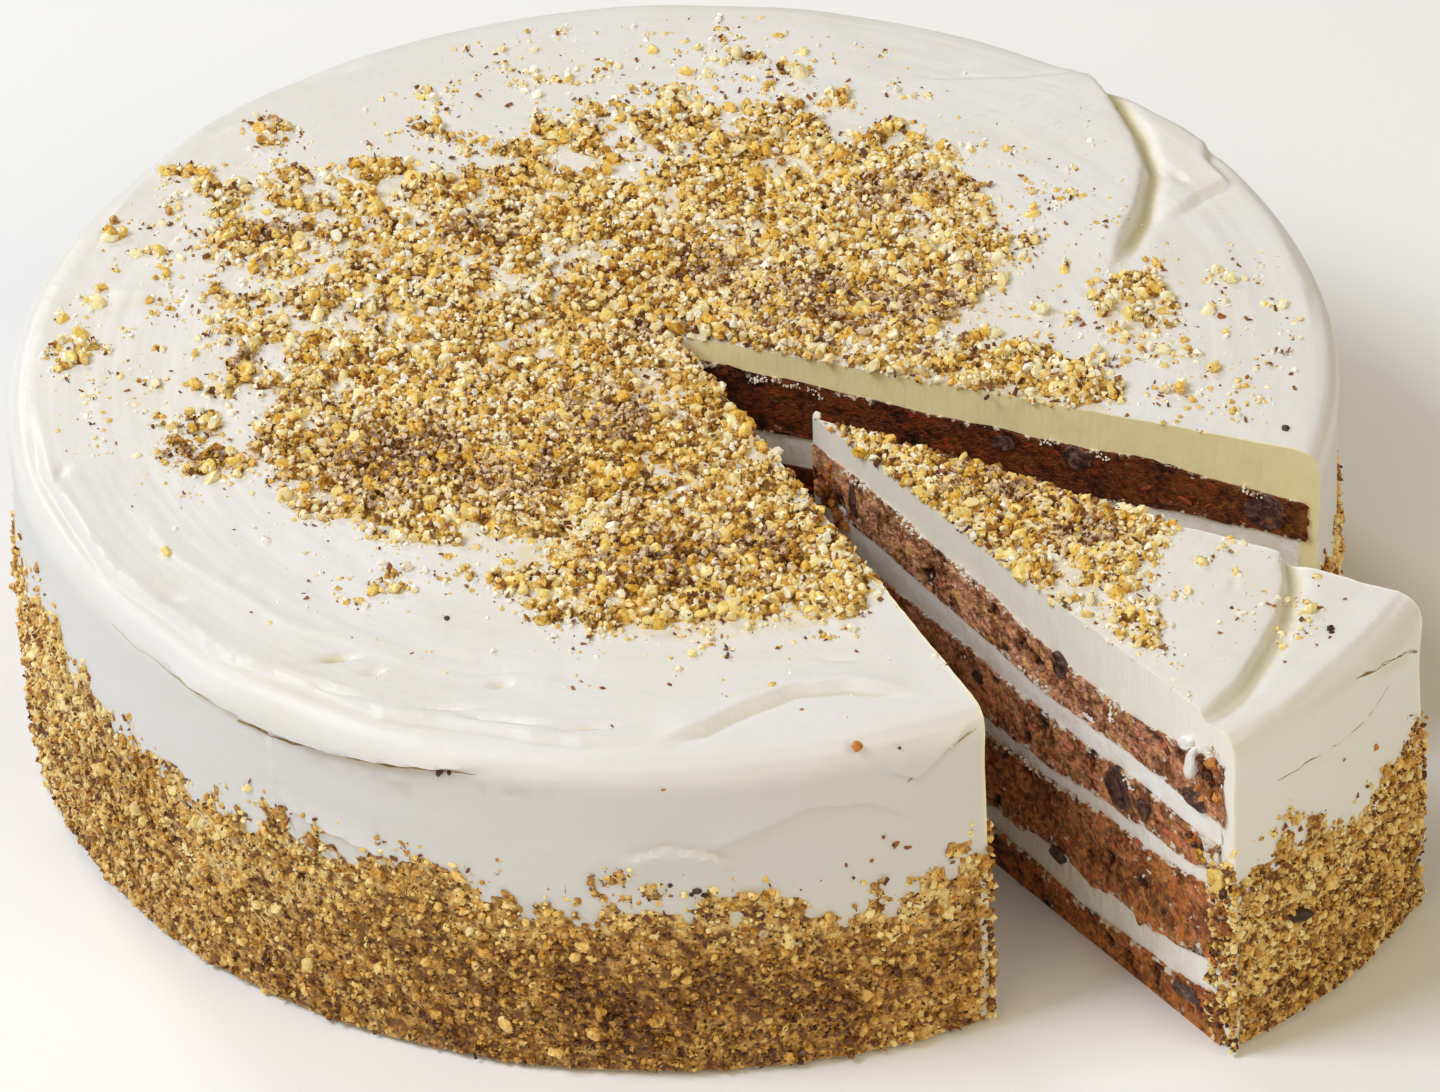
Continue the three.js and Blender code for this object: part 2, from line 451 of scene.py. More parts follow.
@dataclass(frozen=True)
class Finish:
    """What every finish has: a name, and a principled shader that its own nodes feed.

    Attributes:
        ior: That of fat, sugar and dry crumb, which are all near 1.45.
        glow: The share of light that enters and comes out elsewhere.
        glow_depth: How far it goes, in millimetres.
        glow_reach: How far red, green and blue go, as shares of that depth.
    """

    name: str
    roughness: float = 0.5
    ior: float = 1.45
    glow: float = 0.0
    glow_depth: float = 1.2
    glow_reach: tuple[float, float, float] = (1.0, 0.72, 0.4)

    def material(self) -> bpy.types.Material:
        """Makes the material once, and gives it back after that."""
        found = bpy.data.materials.get(self.name)
        if found:
            return found
        material = bpy.data.materials.new(self.name)
        material.use_nodes = True
        tree = material.node_tree
        shader = tree.nodes["Principled BSDF"]
        for socket, value in (
            ("Roughness", self.roughness),
            ("IOR", self.ior),
            ("Subsurface Weight", self.glow),
            ("Subsurface Radius", self.glow_reach),
            ("Subsurface Scale", self.glow_depth * METRES),
        ):
            shader.inputs[socket].default_value = value
        colour, relief = self.paint(tree)
        tree.links.new(colour, shader.inputs["Base Color"])
        normal = None
        for height, depth in relief:
            inputs = {"Height": height, "Distance": abs(depth) * METRES, "Strength": 1.0}
            if normal:
                inputs["Normal"] = normal
            normal = add_node(tree, "Bump", {"invert": depth < 0}, inputs)
        tree.links.new(normal, shader.inputs["Normal"])
        return material

    def paint(self, tree: Tree) -> Painted:
        """Adds the finish's own nodes."""
        raise NotImplementedError

    @staticmethod
    def place(tree: Tree, scale: Sequence[float] = (1, 1, 1)) -> Socket:
        """Object coordinates in millimetres, stretched by a scale."""
        source = add_node(tree, "TexCoord", out="Object")
        return add_node(tree, "Mapping", inputs={"Vector": source, "Scale": [s / METRES for s in scale]})


@dataclass(frozen=True)
class SpreadFrosting(Finish):
    """Cheese frosting spread with a palette knife: opaque, soft-edged, with a satin skin."""

    pale: str = "EBE9E5"
    warm: str = "E8E4D9"
    opened: str = "FFFBEC"
    # Oil from the nuts, and on the top painted warm light bounced from them.
    nut_oil_and_bounce_colour: str = "E6CE94"
    thinned: str = "C9BFB8"
    # Painted shade: the hollows of the knife marks are tinted darker and yellower.
    painted_crease_colour: str = "D3C89C"
    # Painted shade: the wall takes a greyer, darker tone than the top, though it is the same cream.
    painted_wall_shade: str = "DDDBD6"
    glow: float = 0.16

    def paint(self, tree: Tree) -> Painted:
        """Slow drift of tone, oil stains and painted warm bounce light by the nuts, sponge showing where
        thin, knife marks, and painted shade in their hollows and on the wall.
        """
        place = self.place(tree)
        sweep = add_node(tree, "Attribute", {"attribute_name": "sweep"}, out="Vector")
        swept = add_node(tree, "Mapping", inputs={"Vector": sweep, "Scale": (0.07, 1, 0.3)})
        drift, mottle, skin, broad, narrow, drag = (
            add_node(tree, "TexNoise", inputs={"Vector": vector, "Scale": 1 / size, "Detail": detail})
            for vector, size, detail in (
                (place, 30, 3),  # slow drift from white to cream
                (place, 3.6, 4),  # mottling where oil or sponge comes through
                (place, 7, 3),  # soft hollows in the skin
                (swept, 4.2, 1),  # ridges left by the palette knife
                (swept, 1.4, 2),  # scratches between them, coarser than life to show
                (self.place(tree, UPRIGHT), 0.9, 3),  # drag lines of the knife in the cut ends
            )
        )
        tone = add_node(tree, "ValToRGB", {"stops": ((0.36, self.pale), (0.72, self.warm))}, {"Fac": drift})
        patchy = add_node(tree, "MapRange", inputs={0: mottle, 1: 0.36, 2: 0.6})
        side, thin, stain, crease, cut = (
            add_node(tree, "Attribute", {"attribute_name": name}, out="Fac")
            for name in ("side", "thin", "stain", "crease", "cut")
        )
        thin, stain = (add_node(tree, "Math", PRODUCT, {0: amount, 1: patchy}) for amount in (thin, stain))
        for amount, colour in ((side, self.painted_wall_shade), (thin, self.thinned), (stain, self.nut_oil_and_bounce_colour),
                               (crease, self.painted_crease_colour), (cut, self.opened)):
            tone = add_node(tree, "Mix", RGBA, {0: amount, 6: tone, 7: linear(colour)}, 2)
        surface = add_node(tree, "Mix", {"data_type": "FLOAT"}, {0: cut, 2: narrow, 3: drag})
        pores = add_node(tree, "Math", PRODUCT, {0: drag, 1: cut})
        return tone, [(skin, 0.32), (broad, 0.34), (surface, 0.07), (mottle, 0.07), (pores, 0.2)]


@dataclass(frozen=True)
class CutFrosting(Finish):
    """The same frosting where a knife has cut it: whiter, wiped, with fine upright drag lines."""

    pale: str = "FEFCF7"
    warm: str = "F4EADB"
    glow: float = 0.15

    def paint(self, tree: Tree) -> Painted:
        """Drag lines run up and down, and traces of sponge warm the tone."""
        place = self.place(tree)
        drift, pocked, drag = (
            add_node(tree, "TexNoise", inputs={"Vector": vector, "Scale": 1 / size, "Detail": detail})
            for vector, size, detail in (
                (place, 9, 4),  # where sponge has been wiped into it
                (place, 2.2, 3),  # pocks where crumbs were pulled out
                (self.place(tree, UPRIGHT), 0.9, 3),  # drag lines, coarser than life to show
            )
        )
        colour = add_node(tree, "ValToRGB", {"stops": ((0.35, self.pale), (0.75, self.warm))}, {"Fac": drift})
        return colour, [(pocked, 0.3), (drag, 0.3)]


@dataclass(frozen=True)
class CarrotSponge(Finish):
    """Baked carrot sponge, cut open: a brown, torn crumb, browner and more orange at the rim."""

    airy: tuple[str, str, str] = ("3C1C0E", "A86C46", "EEC8A0")
    moist: tuple[str, str, str] = ("341608", "9A561F", "E2A050")
    crust: tuple[str, str, str] = ("48200A", "A35C1E", "DE9A3E")
    shred: str = "A03C1C"
    smear: str = "F0E6D2"
    swing: Stops = ((0.32, "965A3C"), (0.5, "808080"), (0.68, "988E38"))
    rough: float = 1.0
    clean: float = 0.0

    def paint(self, tree: Tree) -> Painted:
        """Tone from the crumb's granules, with painted shade where the torn face dips in, darker and moister
        low down, with frosting rubbed in.
        """
        place = self.place(tree)
        crumb, patch, chunk, wander, swing, shreds, rubbed, fine = (
            add_node(tree, "TexNoise", inputs={
                "Vector": vector, "Scale": 1 / size, "Detail": detail, "Distortion": twist})
            for vector, size, detail, twist in (
                (place, 1.1, 5, 0),  # the torn crumb
                (place, 9, 3, 0),  # paler and darker parts of a layer
                (place, 3.6, 2, 0.8),  # chunks that broke as one
                (place, 5, 3, 0),  # how far the browned rim reaches in
                (place, 3.0, 3, 0),  # swing from golden to reddish brown
                (self.place(tree, (0.7, 0.7, 1.5)), 3.4, 2, 1.2),  # shreds of carrot, lying flat
                (place, 1.7, 4, 0),  # frosting that the knife rubbed in
                (place, 0.5, 2, 0),  # grains of the crumb, about as fine as can show
            )
        )
        granule = add_node(tree, "TexVoronoi", inputs={"Vector": place, "Scale": 1 / 1.0})
        hollow, rim, bake, border = (
            add_node(tree, "Attribute", {"attribute_name": name}, out="Fac")
            for name in ("hollow", "rim", "bake", "border")
        )
        tone = add_node(tree, "Math", PRODUCT, {0: chunk, 1: 0.8})
        for part, share in ((patch, 0.7), (crumb, 0.8), (granule, -0.15),
                            (granule.node.outputs["Color"], 0.3), (hollow, -0.55)):
            tone = add_node(tree, "Math", SUM, {0: part, 1: share, 2: tone})
        tone = add_node(tree, "MapRange", inputs={0: tone, 1: 0.0, 2: 2.0})
        airy, moist, crust = (
            add_node(tree, "ValToRGB", {"stops": tuple(zip((0.42, 0.53, 0.69), stops))}, {"Fac": tone})
            for stops in (self.airy, self.moist, self.crust)
        )
        baked = add_node(tree, "Mix", RGBA, {0: bake, 6: airy, 7: moist}, 2)
        spread = add_node(tree, "MapRange", inputs={0: wander, 1: 0.38, 2: 0.56})
        rim_share = add_node(tree, "Math", PRODUCT, {0: rim, 1: spread})
        baked = add_node(tree, "Mix", RGBA, {0: rim_share, 6: baked, 7: crust}, 2)
        hue = add_node(tree, "ValToRGB", {"stops": self.swing}, {"Fac": swing})
        baked = add_node(tree, "Mix", RGBA | {"blend_type": "OVERLAY"}, {0: 0.65, 6: baked, 7: hue}, 2)
        shown = add_node(tree, "MapRange", inputs={0: shreds, 1: 0.62, 2: 0.7, 4: 0.75})
        baked = add_node(tree, "Mix", RGBA, {0: shown, 6: baked, 7: linear(self.shred)}, 2)
        rubbed = add_node(tree, "Math", SUM, {0: border, 1: 0.17, 2: rubbed})
        white = add_node(tree, "MapRange", inputs={0: rubbed, 1: 0.66 + self.clean, 2: 0.73 + 2 * self.clean})
        colour = add_node(tree, "Mix", RGBA, {0: white, 6: baked, 7: linear(self.smear)}, 2)
        return colour, [(crumb, 0.75 * self.rough), (granule, -0.1 * self.rough), (fine, 0.4)]


@dataclass(frozen=True)
class Nut(Finish):
    """A small hard crumb, as of chopped walnut, whose tone is its own.

    Attributes:
        stops: Its colours from the palest crumb to the darkest.
        speck: The colour of the skin that clings to it.
        speckled: How much skin clings to it, from 0 to 1.
        painted_gap_shade_colour: Painted shade between crumbs that are drawn as one bed, or nothing for loose
            ones.
    """

    stops: Stops = ((0.0, "FFFBEE"), (0.28, "FFEBB4"), (0.55, "F0C458"), (0.78, "AA7026"), (1.0, "4E2C0E"))
    speck: str = "4E2A14"
    speckled: float = 0.0
    painted_gap_shade_colour: str = ""
    glow: float = 0.4
    glow_depth: float = 0.5
    glow_reach: tuple[float, float, float] = (1.0, 0.8, 0.5)

    def paint(self, tree: Tree) -> Painted:
        """Each crumb's tone, mottled by noise finer than the crumb, skin that clings to it, and on a bed
        painted shade in the gaps between grains.
        """
        place = self.place(tree)
        tone = add_node(tree, "Attribute", {"attribute_name": "tone"}, out="Fac")
        mottle = add_node(tree, "TexNoise", inputs={"Vector": place, "Scale": 1 / 0.7, "Detail": 3})
        shift = add_node(tree, "Math", SUM, {0: mottle, 1: 0.9, 2: -0.45})
        shift = add_node(tree, "Math", {"operation": "ADD"}, {0: shift, 1: tone})
        relief = [(mottle, 0.14)]
        if self.painted_gap_shade_colour:
            # Ground nut is finer than this in life, and wouldn't show.
            cell = add_node(tree, "TexVoronoi", inputs={"Vector": place, "Scale": 1 / 1.15})
            shift = add_node(tree, "Math", SUM, {0: cell.node.outputs["Color"], 1: 0.5, 2: shift})
            shift = add_node(tree, "Math", {"operation": "SUBTRACT"}, {0: shift, 1: 0.25})
            relief = [(cell, -0.7), (mottle, 0.14)]
        colour = add_node(tree, "ValToRGB", {"stops": self.stops}, {"Fac": shift})
        if self.painted_gap_shade_colour:
            gap = add_node(tree, "Attribute", {"attribute_name": "gap"}, out="Fac")
            # Painted shade: the gaps between grains are darkened towards the shade colour.
            deep = add_node(tree, "Math", SUM, {0: cell, 1: 0.8, 2: gap})
            shade_in = add_node(tree, "MapRange", inputs={0: deep, 1: 0.55, 2: 1.25})
            colour = add_node(tree, "Mix", RGBA, {0: shade_in, 6: colour, 7: linear(self.painted_gap_shade_colour)}, 2)
        if self.speckled:
            flecks = add_node(tree, "TexNoise", inputs={"Vector": place, "Scale": 1 / 0.9, "Detail": 2})
            edge = 0.72 - 0.14 * self.speckled
            mask = add_node(tree, "MapRange", inputs={0: flecks, 1: edge, 2: edge + 0.04})
            colour = add_node(tree, "Mix", RGBA, {0: mask, 6: colour, 7: linear(self.speck)}, 2)
        return colour, relief


@dataclass(frozen=True)
class Raisin(Finish):
    """A dried grape baked in the sponge: near black, wrinkled, with a soft sheen."""

    stops: Stops = ((0.34, "2E1A18"), (0.52, "583C34"), (0.72, "866A5C"))

    def paint(self, tree: Tree) -> Painted:
        """Dark skin, a little paler on the wrinkles."""
        wrinkle = add_node(tree, "TexNoise", inputs={
            "Vector": self.place(tree), "Scale": 1 / 1.6, "Detail": 3, "Distortion": 0.8})
        colour = add_node(tree, "ValToRGB", {"stops": self.stops}, {"Fac": wrinkle})
        return colour, [(wrinkle, 0.5)]


# Cheese frosting, spread: fat and sugar beaten smooth, which dries to a satin skin with soft highlights.
# Its wall is painted a little greyer than the top, as slight painted shade.
FROSTING = SpreadFrosting("cheese_frosting_spread", roughness=0.42, painted_wall_shade="E8E6E0")
# The same on the cake, with painted light: its cut ends are painted yellow for the warm light bounced and
# shaded in the gap by the slice, and its wall carries more painted shade.
PAINTED_LIGHT_FROSTING = SpreadFrosting("cheese_frosting_spread_rich", roughness=0.42, opened="FFF2BE")
# Cheese frosting, cut: the damp inside, whiter and more matt than the skin, with drag lines.
CUT_FROSTING = CutFrosting("cheese_frosting_cut")
# Carrot sponge, cut or torn: an open crumb that scatters light, with a faint shine from its oil.
SPONGE = CarrotSponge("carrot_sponge_crumb", roughness=0.45)
# The same, moister: darker, smoother and shinier, and the knife leaves less frosting on it. Its darkest tones
# are partly painted shade, for this face lies in the gap behind the slice.
MOIST_SPONGE_PAINTED_SHADE = CarrotSponge("carrot_sponge_moist", roughness=0.42, rough=0.5, clean=0.05,
                            moist=("1A0A05", "4E220F", "8A4A22"))
# Walnut, ground: broken flesh wet with its own oil, so pale, golden and glossy for its size.
NUT_MEAL = Nut("walnut_ground", roughness=0.3, speckled=0.3, glow=0.3)
# Walnut, chopped: the same flesh in larger pieces, with cleaner and more golden faces.
NUT_CHIP = Nut("walnut_chopped", roughness=0.28, speckled=0.3, glow=0.35,
               stops=((0.0, "FFF6D2"), (0.45, "FDE084"), (0.75, "EABA42"), (1.0, "96621E")))
# Ground walnut lying thick: too fine to draw crumb by crumb, so pale grains over gaps painted dark with
# shade.
NUT_BED = Nut("walnut_ground_bed", speckled=0.6, painted_gap_shade_colour="80500E", glow=0.3,
              stops=((0.0, "FFEFBC"), (0.4, "F0CA66"), (0.75, "BE882A"), (1.0, "6E4214")))
# Walnut pressed into the side: it has soaked up fat, so it is deeper in colour and less glossy.
NUT_PRESSED = Nut("walnut_pressed", roughness=0.34, speckled=0.55, stops=(
    (0.0, "FFEAAC"), (0.28, "F4CE78"), (0.55, "CA943A"), (0.8, "80501E"), (1.0, "40220C")))
# The bed under it: darker again, with more skin among the grains, and painted shade in the gaps.
NUT_PRESSED_BED = Nut("walnut_pressed_bed", speckled=0.8, painted_gap_shade_colour="805220", glow=0.25,
                      stops=((0.0, "F8DA92"), (0.35, "E2B25E"), (0.7, "AA742C"), (1.0, "5C340E")))
# Walnut skin: thin, dry and papery, so brown and matt, and light hardly enters it.
NUT_SKIN = Nut("walnut_skin", roughness=0.6, glow=0.05,
               stops=((0.0, "A0642E"), (0.5, "70401C"), (1.0, "38200F")))
# Walnut flour: dust of flesh and skin, greyer than either and with no gloss.
NUT_FLOUR = Nut("walnut_flour", roughness=0.9, stops=((0.0, "FFF3DC"), (0.55, "DDC09A"), (1.0, "8A6446")))
# Sponge crust, broken: caramelised in the tin, so orange brown to nearly black, and dry.
BROKEN_CRUST = Nut("sponge_crust_broken", roughness=0.6, speckled=0.6, glow=0.15,
                   stops=((0.0, "D8923E"), (0.4, "AC6426"), (0.8, "6A3614"), (1.0, "3A1A0A")))
# Frosting rolled into crumbs by the knife: white, with sponge stuck to the darker ones.
WIPED_CRUMBS = Nut("frosting_crumbs", glow=0.2, stops=((0.0, "FFFAF0"), (0.7, "EADCC6"), (1.0, "B08E70")))
# Raisin skin, soaked in baking: dark and wrinkled, with a soft sheen.
RAISIN = Raisin("raisin_skin", roughness=0.38)
# Scorched scraps of nut skin, which look like seeds: nearly black, and no light enters.
SEED = Nut("nut_skin_dark", glow=0.0, stops=((0.0, "4A3424"), (1.0, "1C120A")))
# Carrot, grated and baked: moist shreds, dulled from orange to red brown.
CARROT = Nut("carrot_baked", roughness=0.4, glow=0.3,
             stops=((0.0, "A0522E"), (0.5, "7C381E"), (1.0, "54240F")))
# The inside of a tear in the frosting: shadow, and sponge that shows through in its deepest parts.
CRACK = Nut("frosting_crack", roughness=0.7, glow=0.0,
            stops=((0.0, "D8C8A4"), (0.5, "9A7A4C"), (1.0, "4A2610")))


# --- The cake's form ---

class Side(Enum):
    """The two cut faces of a wedge, in the order that its angles run."""

    START = 0
    END = 1


@dataclass(frozen=True)
class Wedge:
    """One piece of the cake in plan: its apex, and the directions of its two cut faces.

    Attributes:
        prefix: What its pieces' names and nodes begin with.
        own_arc: Whether its wall bends round its apex, and not round the cake's axis.
        surfaces: Heights of the surfaces between its layers, at the stations below.
    """

    prefix: str
    apex: tuple[float, float]
    start: float
    end: float
    own_arc: bool
    surfaces: tuple[tuple[float, ...], ...]

    def reach(self, angle: Array) -> Array:
        """Distance from the apex to the sponge's rim along angles in radians."""
        if self.own_arc:
            return np.full_like(angle, SPONGE_RADIUS)
        along = self.apex[0] * np.cos(angle) + self.apex[1] * np.sin(angle)
        squared = self.apex[0] ** 2 + self.apex[1] ** 2
        return np.sqrt(along ** 2 + SPONGE_RADIUS ** 2 - squared) - along

    def plan(self, radius: Array, angle: Array) -> tuple[Array, Array]:
        """Where a distance from the apex and an angle in radians fall, seen from above."""
        stretched = radius * self.reach(angle) / SPONGE_RADIUS
        return self.apex[0] + stretched * np.cos(angle), self.apex[1] + stretched * np.sin(angle)

    def face(self, side: Side) -> tuple[Array, Array]:
        """Unit vectors of a cut face: along it from the apex, and out of it."""
        degrees = self.start if side is Side.START else self.end
        turn = -90 if side is Side.START else 90
        along = np.array([math.cos(math.radians(degrees)), math.sin(math.radians(degrees)), 0])
        out = np.array([math.cos(math.radians(degrees + turn)), math.sin(math.radians(degrees + turn)), 0])
        return along, out

    def on_face(self, side: Side, run: Array, height: Array, out: Array) -> Array:
        """Places near a cut face, by how far they lie along it, up it and out of it."""
        along, away = self.face(side)
        return (np.array([*self.apex, 0]) + run[:, None] * along + out[:, None] * away
                + height[:, None] * np.array([0, 0, 1.0]))

    def depth(self, points: Array, side: Side) -> Array:
        """How far places inside the wedge lie from a cut face."""
        along, out = self.face(side)
        offset = points - np.array([*self.apex, 0])
        run, away = offset @ along, offset @ out
        return np.where(run >= 0, np.abs(away), np.hypot(run, away))

    def push_faces(self, points: Array, amount: Array, fade: float = 3.0) -> Array:
        """Moves places near the cut faces outwards.

        Args:
            points: The places, shaped (n, 3).
            amount: How far each moves if it lies on the face.
            fade: The depth over which that dies away.

        Returns:
            The moved places.
        """
        moved = points.copy()
        for side in Side:
            weight = np.exp(-((self.depth(points, side) / fade) ** 2))
            moved += (amount * weight)[:, None] * self.face(side)[1]
        return moved

    def angles(self, runs: Sequence[tuple[float, float]], edge_steps: Sequence[float] = ()) -> Array:
        """Angles in radians from one face to the other.

        Args:
            runs: For each run, where it ends and its step, both in degrees.
            edge_steps: Close steps in degrees beside both faces.

        Returns:
            The angles, in order.
        """
        edge = np.cumsum([0, *edge_steps])
        begin, last = self.start + edge[-1], self.end - edge[-1]
        stretches = []
        for until, step in runs:
            stretches.append((begin, min(until, last), step))
            begin = min(until, last)
        middle = spaced(*stretches)
        return np.radians(np.concatenate([self.start + edge[:-1], middle, (self.end - edge[:-1])[::-1]]))

    def even(self, step: float, radius: float) -> Array:
        """Angles whose steps measure about so many millimetres at a radius."""
        return self.angles(((self.end, math.degrees(step / radius)),))


# Distances from the apex at which the surfaces between layers are given, and their heights.
STATIONS = (0, 12, 25, 40, 55, 70, 85, 100, 115, 123.5)
SURFACES = (
    (0, 0, 0, 0, 0, 0, 0, 0, 0, 0),
    (8, 8, 7.6, 7.5, 7.6, 8, 6.9, 8.1, 9.4, 11.2),
    (14, 14, 14, 14, 12.6, 15, 13.6, 14, 15.4, 18.4),
    (29.5, 29.5, 29.5, 29.4, 29.6, 30, 31.5, 32.2, 33.5, 34.8),
    (32.7, 32.6, 32.5, 32.4, 33, 33.2, 35.2, 36.4, 37.2, 37.9),
    (46.5, 46.5, 46.4, 45.9, 45.4, 45, 45, 46, 45.4, 46),
    (54.6, 54.5, 54.2, 53, 51.8, 50.7, 51, 51.4, 51.5, 51.5),
    (66.5, 66.1, 65.4, 64, 62.8, 61.2, 60.4, 60.8, 63.2, 65.5),
)
# Beside the missing slice the top layer of sponge is thicker.
CAKE_SURFACES = (
    *SURFACES[:6],
    (54.4, 54.3, 54, 53.6, 53.4, 53.4, 53.6, 53.8, 53.6, 53),
    (67.4, 67.2, 66.6, 65.8, 65, 64.4, 64.2, 63.8, 62, 61),
)
CAKE = Wedge("", (1.2, 6.5), -20.6, 294.9, False, CAKE_SURFACES)
SLICE = Wedge("slice_", (26.7, -21.7), -54.4, -29.3, True, SURFACES)


def layer_sway(radius: Array, height: Array, angle: Array) -> Array:
    """How far layers run up and down as they go round."""
    share = radius / SPONGE_RADIUS
    return 0.7 * share * np.sin(math.pi * height / HEIGHT) * np.sin(3 * angle + height / 9)


def layer_surface(wedge: Wedge, index: int, radius: Array, angle: Array) -> Array:
    """Height of the surface above layer `index`, counted from 1; 0 is the underside."""
    level = np.interp(radius, STATIONS, wedge.surfaces[index])
    return level + layer_sway(radius, level, angle)


@dataclass(frozen=True)
class Stroke:
    """A ridge left by the palette knife along a path, steep on its right and gentle on its left.

    Attributes:
        path: Its corners, in the coat's own plan or on the unrolled wall.
        rise: Its height.
        steep: Its width on its right.
        gentle: Its width on its left.
        groove: The depth of the groove on its right.
        valley: The groove's width.
    """

    path: tuple[tuple[float, float], ...]
    rise: float
    steep: float = 1.2
    gentle: float = 14.0
    groove: float = 0.0
    valley: float = 2.0

    def relief(self, x: Array, y: Array) -> Array:
        """Height that the stroke adds.

        Args:
            x: Places in the coat's own plan, or along the unrolled wall.
            y: The same places' other coordinate.

        Returns:
            One height for each place.
        """
        corners = np.array(self.path)
        nearest = np.full(len(x), 1e9)
        offset = np.zeros(len(x))
        travelled = np.zeros(len(x))
        lengths = np.linalg.norm(np.diff(corners, axis=0), axis=1)
        starts = np.concatenate([[0], np.cumsum(lengths)])
        here = np.stack([x, y], axis=-1)
        for begin, end, length, start in zip(corners, corners[1:], lengths, starts):
            run = (end - begin) / length
            along = np.clip((here - begin) @ run, 0, length)
            away = here - begin - along[:, None] * run
            distance = np.linalg.norm(away, axis=1)
            left = run[0] * away[:, 1] - run[1] * away[:, 0]
            closer = distance < nearest
            nearest = np.where(closer, distance, nearest)
            offset = np.where(closer, np.where(left >= 0, distance, -distance), offset)
            travelled = np.where(closer, start + along, travelled)
        offset = offset + 0.35 * self.steep * lumps(at_level(x, y), 6, 91)
        share = travelled / starts[-1]
        ends = smooth(share, 0, 0.2) * smooth(1 - share, 0, 0.2)
        slope = np.where(offset >= 0, np.exp(-offset / self.gentle), np.exp(-(offset / self.steep) ** 2))
        dip = bump(offset, -self.steep - 0.8 * self.valley, self.valley)
        return ends * (self.rise * slope - self.groove * dip)


@dataclass(frozen=True)
class Pit:
    """A small dent or nick in the frosting: its middle, its half sizes, its turn and its depth."""

    x: float
    y: float
    length: float
    width: float
    turn: float
    depth: float

    def relief(self, x: Array, y: Array) -> Array:
        """Height that the dent takes away, as a number below nought."""
        along, across = oval(x, y, (self.x, self.y), self.turn)
        return -self.depth * np.exp(-((along / self.length) ** 2 + np.abs(across / self.width) ** 3))


@dataclass(frozen=True)
class Patch:
    """An oval on top of the cake where nuts fell: its middle, its half sizes, and how thickly they lie.

    Attributes:
        turn: How far it is turned.
        edge: How wide its faded edge is, as a share of the oval.
    """

    x: float
    y: float
    length: float
    width: float
    density: float
    turn: float
    edge: float

    def cover(self, x: Array, y: Array) -> Array:
        """The patch's density at places, fading over its edge."""
        along, across = oval(x, y, (self.x, self.y), self.turn)
        away = np.hypot(along / self.length, across / self.width)
        return self.density * (1 - smooth(away, 1 - self.edge, 1 + self.edge))


@dataclass(frozen=True)
class WallSpot:
    """An oval on the wall: its middle in degrees and height, and its half sizes in millimetres."""

    degrees: float
    height: float
    length: float
    width: float
    strength: float = 1.0

    def cover(self, angle: Array, height: Array) -> Array:
        """Its strength at places on the wall, fading outwards."""
        turned = (np.degrees(angle) - self.degrees + 180) % 360 - 180
        along = np.radians(turned) * WALL / self.length
        return self.strength * np.exp(-(along ** 2 + ((height - self.height) / self.width) ** 2))


